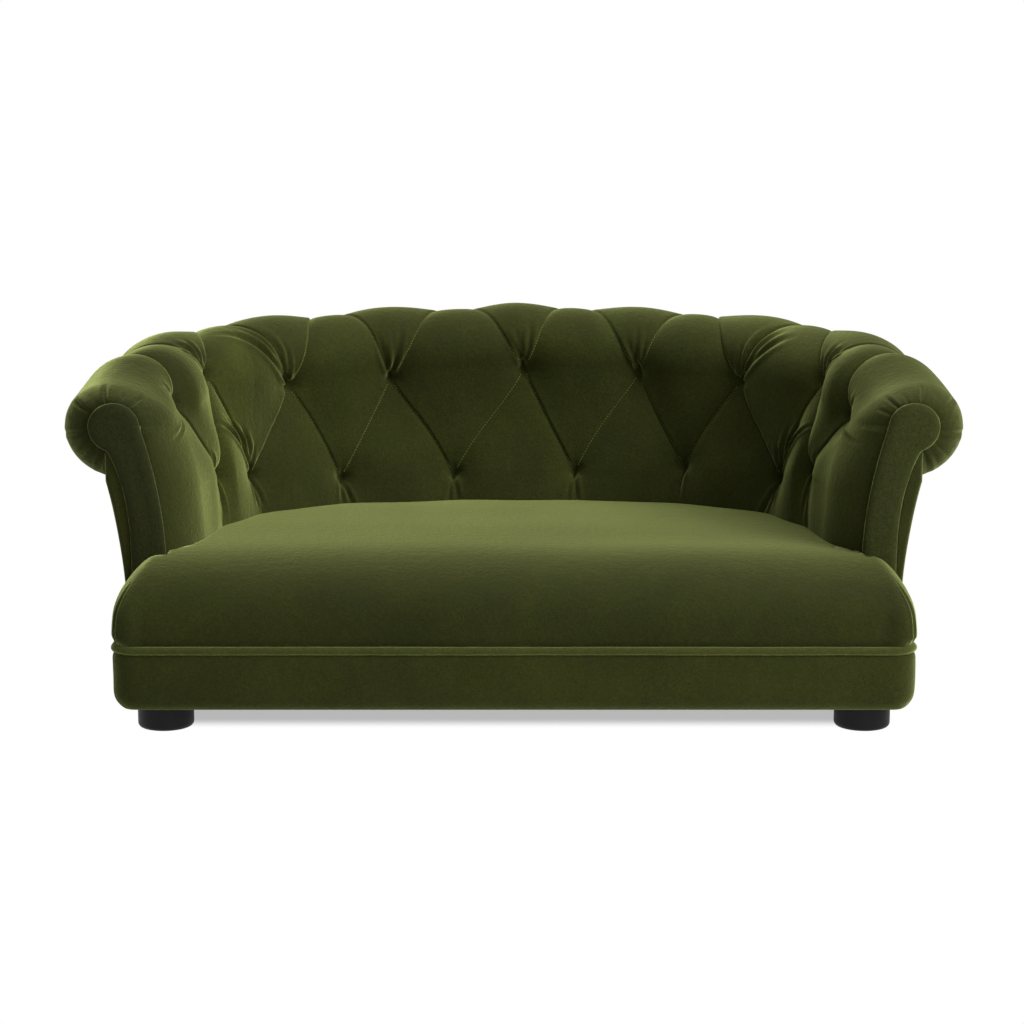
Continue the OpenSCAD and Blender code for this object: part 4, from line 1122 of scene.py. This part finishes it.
def fill_socket(tree, socket, value):
    if isinstance(value, bpy.types.NodeSocket):
        tree.links.new(value, socket)
    else:
        socket.default_value = value


def add(tree, kind, sockets=None, output=0, **settings):
    made = tree.nodes.new(kind)
    for key, value in settings.items():
        setattr(made, key, value)
    for key, value in (sockets or {}).items():
        fill_socket(tree, made.inputs[key], value)
    return made.outputs[output] if made.outputs else None


def new_material(name, **shader):
    material = bpy.data.materials.new(name)
    material.use_nodes = True
    tree = material.node_tree
    surface = tree.nodes["Principled BSDF"]
    for key, value in shader.items():
        surface.inputs[key.replace("_", " ")].default_value = value
    return material, tree, surface, add(tree, "ShaderNodeTexCoord", output=OBJECT_COORDINATES)


def stretched(tree, where, x, y, z):
    return add(tree, "ShaderNodeMapping", {"Vector": where, "Scale": (x, y, z)})


def noise(tree, where, scale, detail=2.0, rough=0.5, twist=0.0):
    return add(tree, "ShaderNodeTexNoise", {"Vector": where, "Scale": scale, "Detail": detail,
                                            "Roughness": rough, "Distortion": twist})


def ranged(tree, value, low, high, to_low, to_high):
    return add(tree, "ShaderNodeMapRange", {"Value": value, "From Min": low, "From Max": high,
                                            "To Min": to_low, "To Max": to_high})


def times(tree, a, b):
    return add(tree, "ShaderNodeMath", {0: a, 1: b}, operation="MULTIPLY")


def plus(tree, a, b):
    return add(tree, "ShaderNodeMath", {0: a, 1: b}, operation="ADD")


def shaded(tree, colour, share):
    return add(tree, "ShaderNodeVectorMath", {0: colour, "Scale": share}, operation="SCALE")


def two_colours(tree, share, low, high):
    return add(tree, "ShaderNodeMix", {0: share, 6: low, 7: high}, output=2, data_type="RGBA")


def linear(red, green, blue):
    """A colour as it is read off a screen, 0 to 255, turned into the numbers that light adds up in."""
    def one(c):
        c = c / 255
        return c / 12.92 if c <= 0.04045 else ((c + 0.055) / 1.055) ** 2.4
    return one(red), one(green), one(blue), 1.0


def spread(tree, value, swing, low=0.3, high=0.7):
    """A noise turned into a number round 1, from 1 - swing to 1 + swing."""
    return ranged(tree, value, low, high, 1 - swing, 1 + swing)


def part_of(tree, vector, axis):
    """The x, y or z of a vector, for axis 0, 1 or 2."""
    return add(tree, "ShaderNodeSeparateXYZ", {0: vector}, output=axis)


def largest(tree, a, b):
    return add(tree, "ShaderNodeMath", {0: a, 1: b}, operation="MAXIMUM")


def surfaced(tree, surface, colour, rough, height, distance, strength):
    """Gives the shader its colour, its roughness and its bumps; distance is their depth in metres."""
    tree.links.new(colour, surface.inputs["Base Color"])
    tree.links.new(rough, surface.inputs["Roughness"])
    normal = add(tree, "ShaderNodeBump", {"Strength": strength, "Distance": distance, "Height": height})
    tree.links.new(normal, surface.inputs["Normal"])


def one_tone(tree, tone, light):
    """One colour, made lighter and darker by a number round 1."""
    base = add(tree, "ShaderNodeRGB")
    base.default_value = tone
    return shaded(tree, base, light)


def cover_with(piece, material):
    piece.data.materials.clear()
    piece.data.materials.append(material)


print("middle grey on a screen is", round(linear(128, 128, 128)[0], 3), "in light")

# %% [markdown]
# ## Velvet
#
# Velvet is a forest of short fibres. Seen along them it is dark, and seen across them, near an
# edge or a crest, it turns pale, which is what the sheen of the shader imitates. The pile also
# leans this way and that, in soft patches a hand wide, and each tuft of fibres catches the light
# on its own; that light and shade of the tufts is painted into the colour. One recipe makes every
# velvet here, and the thread too: the cover is the plain case, and the arms, the seat, the fronts
# and the welt differ from it in tone, sheen and lean. The lean of the arms is painted light and
# shade: ramps over x that make their colour lighter and darker.

# %% Velvet
SHEEN_TINT = linear(230, 243, 148)
WARM, COOL = (1.02, 1.0, 0.94), (0.97, 1.01, 1.04)


def velvet(name, colour, sheen=0.5, patch=0.16, speck=0.6, pile_depth=0.0006, soft=0.42, lean=()):
    """Velvet of one colour. lean holds ramps of brightness over x: from and to, in metres, and how
    bright the colour is at each. They paint light and shade into the colour: lighter and darker bands
    for cloth whose pile lies another way at one end and catches more or less light there."""
    material, tree, surface, where = new_material(
        name, Specular_IOR_Level=0.1, Sheen_Weight=sheen, Sheen_Roughness=soft, Sheen_Tint=SHEEN_TINT)
    drift_of_pile = noise(tree, where, 11.0, 3.0, 0.55, 0.6)
    streak = noise(tree, stretched(tree, where, 1.0, 1.0, 0.35), 60.0, 3.0, 0.6, 0.4)
    fibres = noise(tree, where, 640.0, 3.0, 0.8)
    clumps = noise(tree, where, 260.0, 3.0, 0.7)
    nap = noise(tree, stretched(tree, where, 0.8, 1.0, 1.0), 140.0, 3.0, 0.6)
    light = times(tree, spread(tree, drift_of_pile, patch), spread(tree, streak, patch / 2, 0.25, 0.75))
    # painted light and shade of the pile: the colour is lighter where the fibres and clumps of the bump stand
    # high, darker where they are low
    light = times(tree, light, spread(tree, fibres, speck, 0.25, 0.75))
    light = times(tree, light, spread(tree, clumps, 0.26, 0.25, 0.75))
    warm, cool = [tuple(c * k for c, k in zip(colour, tone)) + (1.0,) for tone in (WARM, COOL)]
    share = ranged(tree, noise(tree, where, 24.0, 2.0), 0.35, 0.65, 0.0, 1.0)
    # painted light and shade: each ramp makes the colour lighter or darker over x
    for ramp in lean:
        light = times(tree, light, ranged(tree, part_of(tree, where, 0), *ramp))
    pile = plus(tree, plus(tree, times(tree, fibres, 0.6), clumps), times(tree, nap, 1.1))
    surfaced(tree, surface, shaded(tree, two_colours(tree, share, warm, cool), light),
             ranged(tree, clumps, 0.3, 0.7, 0.78, 0.94), pile, pile_depth, 0.8)
    return material


print("sheen tint", [round(c, 2) for c in SHEEN_TINT[:3]])

# %% Velvets of the sofa
MOSS = linear(41, 44, 11)
cover_velvet = velvet("moss_velvet", MOSS)
seat_velvet = velvet("moss_velvet_seat", linear(36, 39, 8), sheen=0.8, soft=0.39)
front_velvet = velvet("moss_velvet_fronts", linear(37, 40, 16), sheen=0.8, patch=0.08, soft=0.33)
# painted light: the right arm front takes a lighter copy of the fronts' velvet, where the key lamp at the
# front right falls
lit_right_front_velvet = velvet("moss_velvet_right_front_painted_light", linear(45, 48, 18), sheen=0.9, patch=0.08, soft=0.33)
welt_velvet = velvet("moss_velvet_welt", linear(54, 58, 22), sheen=0.8, patch=0.08)
thread_green = velvet("tufting_seam_thread", linear(112, 118, 58), sheen=0.4, patch=0.05, speck=0.15,
                      pile_depth=0.0001)
# the velvet of each arm is cut in its own direction, so its pile turns another way to the light; its ramps
# over x also paint light and shade into the colour
left_velvet = velvet("moss_velvet_left_arm", MOSS, sheen=1.0, soft=0.37,
                     lean=((-0.37, -0.31, 0.75, 1.4), (-0.31, -0.25, 1.0, 0.52)))
right_velvet = velvet("moss_velvet_right_arm", MOSS, sheen=0.4,
                      lean=((0.25, 0.31, 1.02, 1.2), (0.31, 0.38, 1.0, 0.74)))

for material, pieces in (
        (cover_velvet, [*covers.values(), *bands.values(), pads["back_pad"]]),
        (left_velvet, [pads["left_arm_pad"]]), (right_velvet, [pads["right_arm_pad"]]),
        (seat_velvet, [seat]), (front_velvet, [fronts["left_facing"]]),
        (lit_right_front_velvet, [fronts["right_facing"]]), (welt_velvet, [welt]), (thread_green, [stitches])):
    for piece in pieces:
        cover_with(piece, material)
    print(material.name, "on", len(pieces))

# %% [markdown]
# ## Wood, foam and metal inside
#
# What carries the upholstery is out of sight, but the sofa is a whole object, and somebody may
# take it apart. Pine has long rings along each rail, plywood shows its plies on the edge, foam has
# open cells, and the screws are zinc-plated steel.

# %% Wood and foam
def grain(name, light_tone, dark_tone, along, rings=26.0, plies=None):
    """Wood with its grain along x, y or z, and the layers of plywood where plies gives their axis."""
    material, tree, surface, where = new_material(name, Specular_IOR_Level=0.35)
    lengthways = stretched(tree, where, *(0.06 if axis == along else 1.0 for axis in "xyz"))
    figure = noise(tree, lengthways, rings, 4.0, 0.6, 1.4)
    fine = noise(tree, lengthways, 420.0, 3.0, 0.7)
    share = plus(tree, times(tree, figure, 0.75), times(tree, fine, 0.35))
    if plies:
        across = add(tree, "ShaderNodeTexWave", {"Vector": where, "Scale": 110.0, "Distortion": 0.4},
                     wave_type="BANDS", bands_direction=plies.upper())
        share = plus(tree, times(tree, share, 0.7), times(tree, across, 0.25))
    tone = two_colours(tree, ranged(tree, share, 0.3, 0.85, 0.0, 1.0), light_tone, dark_tone)
    surfaced(tree, surface, tone, ranged(tree, fine, 0.3, 0.7, 0.52, 0.74), fine, 0.0002, 0.5)
    return material


def cells(name, tone, groove_shade_tone):
    material, tree, surface, where = new_material(name, Specular_IOR_Level=0.1, Sheen_Weight=0.15)
    holes = add(tree, "ShaderNodeTexVoronoi", {"Vector": where, "Scale": 520.0}, feature="DISTANCE_TO_EDGE")
    age = noise(tree, where, 14.0, 3.0)
    # painted shade: the sunken edges between the cells take the darker tone
    share = plus(tree, ranged(tree, holes, 0.0, 0.3, 0.0, 0.8), times(tree, age, 0.25))
    surfaced(tree, surface, two_colours(tree, share, groove_shade_tone, tone),
             ranged(tree, age, 0.3, 0.7, 0.85, 0.97), holes, 0.0006, 0.7)
    return material


PINE, PINE_DARK = linear(226, 196, 150), linear(186, 142, 92)
BIRCH, BIRCH_DARK = linear(220, 194, 152), linear(176, 136, 92)
pine = {axis: grain("pine_along_" + axis, PINE, PINE_DARK, axis) for axis in "xyz"}
birch = {"z": grain("birch_plywood_walls", BIRCH, BIRCH_DARK, "z", 18.0, "y"),
         "x": grain("birch_plywood_deck", BIRCH, BIRCH_DARK, "x", 18.0, "z")}
finishes = {"foam": cells("cream_foam", linear(243, 232, 200), linear(214, 196, 150))}
print("woods", [wood.name for wood in (*pine.values(), *birch.values())])

# %% Metal and plastic
def plated(name, tone):
    material, tree, surface, where = new_material(name, Metallic=1.0)
    turned = noise(tree, stretched(tree, where, 1.0, 1.0, 14.0), 300.0, 2.0)
    bloom = noise(tree, where, 90.0, 2.0)
    light = ranged(tree, plus(tree, times(tree, turned, 0.4), times(tree, bloom, 0.6)), 0.3, 0.7, 0.86, 1.08)
    surfaced(tree, surface, one_tone(tree, tone, light),
             ranged(tree, turned, 0.3, 0.7, 0.24, 0.42), turned, 0.00005, 0.4)
    return material


def moulded(name, tone):
    """Satin moulded plastic: a faint spark texture, a few scuffs and a soft shine."""
    material, tree, surface, where = new_material(name, Specular_IOR_Level=0.18)
    spark = noise(tree, where, 900.0, 2.0, 0.6)
    scuffs = noise(tree, stretched(tree, where, 1.0, 1.0, 5.0), 38.0, 4.0, 0.65)
    light = times(tree, spread(tree, spark, 0.1), ranged(tree, scuffs, 0.3, 0.75, 0.88, 1.3))
    surfaced(tree, surface, one_tone(tree, tone, light),
             ranged(tree, scuffs, 0.3, 0.75, 0.44, 0.58), spark, 0.00008, 0.5)
    return material


finishes["steel"] = plated("zinc_plated_steel", linear(208, 210, 212))
finishes["black_plastic"] = moulded("satin_black_plastic", linear(10, 10, 12))
print("finishes", sorted(finishes))

# %% Twine and dust cloth
def twisted(name, tone):
    material, tree, surface, where = new_material(name, Specular_IOR_Level=0.25, Sheen_Weight=0.2)
    lay = add(tree, "ShaderNodeTexWave", {"Vector": where, "Scale": 420.0, "Distortion": 1.5},
              wave_type="BANDS", bands_direction="DIAGONAL")
    fuzz = noise(tree, where, 1400.0, 2.0)
    # painted shade: the low grooves of the lay between the strands are darker
    light = times(tree, ranged(tree, lay, 0.0, 1.0, 0.78, 1.06), spread(tree, fuzz, 0.07))
    surfaced(tree, surface, one_tone(tree, tone, light),
             ranged(tree, fuzz, 0.3, 0.7, 0.62, 0.8), lay, 0.0002, 0.6)
    return material


def pressed_cloth(name, tone):
    """Non-woven cloth: fibres pressed together, with rows of small bonding points."""
    material, tree, surface, where = new_material(name, Specular_IOR_Level=0.2, Sheen_Weight=0.15)
    fibres = noise(tree, where, 1100.0, 3.0, 0.7, 1.0)
    points = add(tree, "ShaderNodeTexVoronoi", {"Vector": where, "Scale": 560.0, "Randomness": 0.12})
    light = times(tree, ranged(tree, fibres, 0.3, 0.7, 0.75, 1.3), ranged(tree, points, 0.0, 0.5, 0.8, 1.15))
    surfaced(tree, surface, one_tone(tree, tone, light),
             ranged(tree, fibres, 0.3, 0.7, 0.8, 0.95), fibres, 0.0002, 0.6)
    return material


finishes["twine"] = twisted("waxed_twine", linear(232, 224, 202))
finishes["dust_cloth"] = pressed_cloth("black_dust_cloth", linear(38, 38, 41))
print("finishes", sorted(finishes))

# %% Finishes of the solids that stay
slot_of = {row["node"]: row["material_slot"] for row in frame["record"]["subparts"]}
UPRIGHT = ("wall_posts",)
ACROSS = ("left_side_rail", "right_side_rail", "left_arm_rail", "right_arm_rail", "centre_rail")
for name, solid in nodes.items():
    finish = slot_of[name]
    if finish == "pine":
        finish = pine["z" if name in UPRIGHT else "y" if name in ACROSS else "x"]
    elif finish == "plywood":
        finish = birch["x" if name == "seat_deck" else "z"]
    else:
        finish = finishes.get(finish, cover_velvet)
    cover_with(solid, finish)
print("solids with a finish", len(nodes))

# %% [markdown]
# ## Floor, light and camera
#
# The sofa stands in a white studio. The floor is a real matt surface, so it keeps the soft shadow
# under the base, and it is lifted towards white only for the camera and for reflections. A broad
# lamp overhead lights the seat and the tops of the roll, a stronger one from the front right
# gives each pillow a light and a dark side, and a weak one in front fills the folds.

# %% Floor
WHITE = (1, 1, 1, 1)
SHADOW_FROM, SHADOW_TO, SHADOW_LIFT = -0.070, -0.028, 0.47
FLOOR_HALF = 9


def seen(tree):
    """1 for what the camera, a reflection or a clear surface sees, 0 for the light of the room."""
    rays = tree.nodes.new("ShaderNodeLightPath")
    direct = largest(tree, rays.outputs["Is Camera Ray"], rays.outputs["Is Glossy Ray"])
    return largest(tree, direct, rays.outputs["Is Transmission Ray"])


def lifted(tree, surface, share):
    """Mixes a shader with plain white light, for what the camera and reflections see of it."""
    white = add(tree, "ShaderNodeEmission", {"Color": WHITE, "Strength": 1.0})
    return add(tree, "ShaderNodeMixShader", {0: times(tree, seen(tree), share), 1: surface, 2: white})


def studio_floor():
    corners = [(x * FLOOR_HALF, y * FLOOR_HALF, 0) for x, y in ((-1, -1), (1, -1), (1, 1), (-1, 1))]
    floor = new_object("studio_floor", np.array(corners) / MM, [[0, 1, 2, 3]], smooth=False)
    material = bpy.data.materials.new("white_paper_floor")
    material.use_nodes = True
    tree = material.node_tree
    tree.nodes.clear()
    where = add(tree, "ShaderNodeTexCoord", output=OBJECT_COORDINATES)
    tone = ranged(tree, noise(tree, where, 3.0, 2.0), 0.3, 0.7, 0.895, 0.905)
    matt = add(tree, "ShaderNodeBsdfDiffuse", {"Color": tone})
    # the shadow shows only well under the base; further out the paper is blown out to white
    base_middle = (0.0, (BASE_D / 2 - MID_DEPTH) * MM, 0.0)
    base_half = (HALF_W * MM, BASE_D / 2 * MM, 0.0)
    across = add(tree, "ShaderNodeVectorMath", {0: where, 1: base_middle}, operation="SUBTRACT")
    across = add(tree, "ShaderNodeVectorMath", {0: across}, operation="ABSOLUTE")
    across = add(tree, "ShaderNodeVectorMath", {0: across, 1: base_half}, operation="SUBTRACT")
    outside = largest(tree, part_of(tree, across, 0), part_of(tree, across, 1))
    share = add(tree, "ShaderNodeMapRange",
                {"Value": outside, "From Min": SHADOW_FROM, "From Max": SHADOW_TO,
                 "To Min": SHADOW_LIFT, "To Max": 1.0}, interpolation_type="SMOOTHSTEP")
    add(tree, "ShaderNodeOutputMaterial", {"Surface": lifted(tree, matt, share)})
    cover_with(floor, material)


studio_floor()
print("floor", 2 * FLOOR_HALF, "m wide")

# %% World and lamps
def studio_world(strength):
    world = bpy.data.worlds.new("white_studio")
    scene.world = world
    world.use_nodes = True
    tree = world.node_tree
    tree.nodes.clear()
    level = add(tree, "ShaderNodeMapRange", {"Value": seen(tree), "To Min": strength, "To Max": 1.0})
    light = add(tree, "ShaderNodeBackground", {"Color": WHITE, "Strength": level})
    add(tree, "ShaderNodeOutputWorld", {"Surface": light})


def lamp(name, place_at, aim, size, power):
    light = bpy.data.lights.new(name, "AREA")
    light.shape, light.size, light.size_y, light.energy = "RECTANGLE", size[0], size[1], power
    holder = bpy.data.objects.new(name, light)
    holder.location = place_at
    holder.rotation_euler = (Vector(aim) - Vector(place_at)).to_track_quat("-Z", "Y").to_euler()
    scene.collection.objects.link(holder)


ROOM_LIGHT = 0.13
studio_world(ROOM_LIGHT)
lamp("overhead", (0.6, 0.15, 2.2), (0.0, 0.0, 0.2), (1.3, 1.1), 34.0)
lamp("right_key", (2.0, -1.3, 1.9), (0.0, 0.0, 0.25), (1.1, 1.1), 75.0)
lamp("front_fill", (1.0, -3.4, 1.4), (0.0, 0.0, 0.2), (2.0, 1.2), 16.0)

# %% Camera
FOCAL_MM, SENSOR_MM, TILT = 85.6, 36.0, math.radians(80.5)
lens = bpy.data.cameras.new("photo_camera")
lens.lens, lens.sensor_width = FOCAL_MM, SENSOR_MM
camera = bpy.data.objects.new("photo_camera", lens)
camera.location = (-0.002, -2.6695, 0.627)
camera.rotation_euler = (TILT, 0.0, 0.0)
scene.collection.objects.link(camera)
scene.camera = camera
scene.view_settings.view_transform = "Standard"
print("camera", [round(c, 3) for c in camera.location])
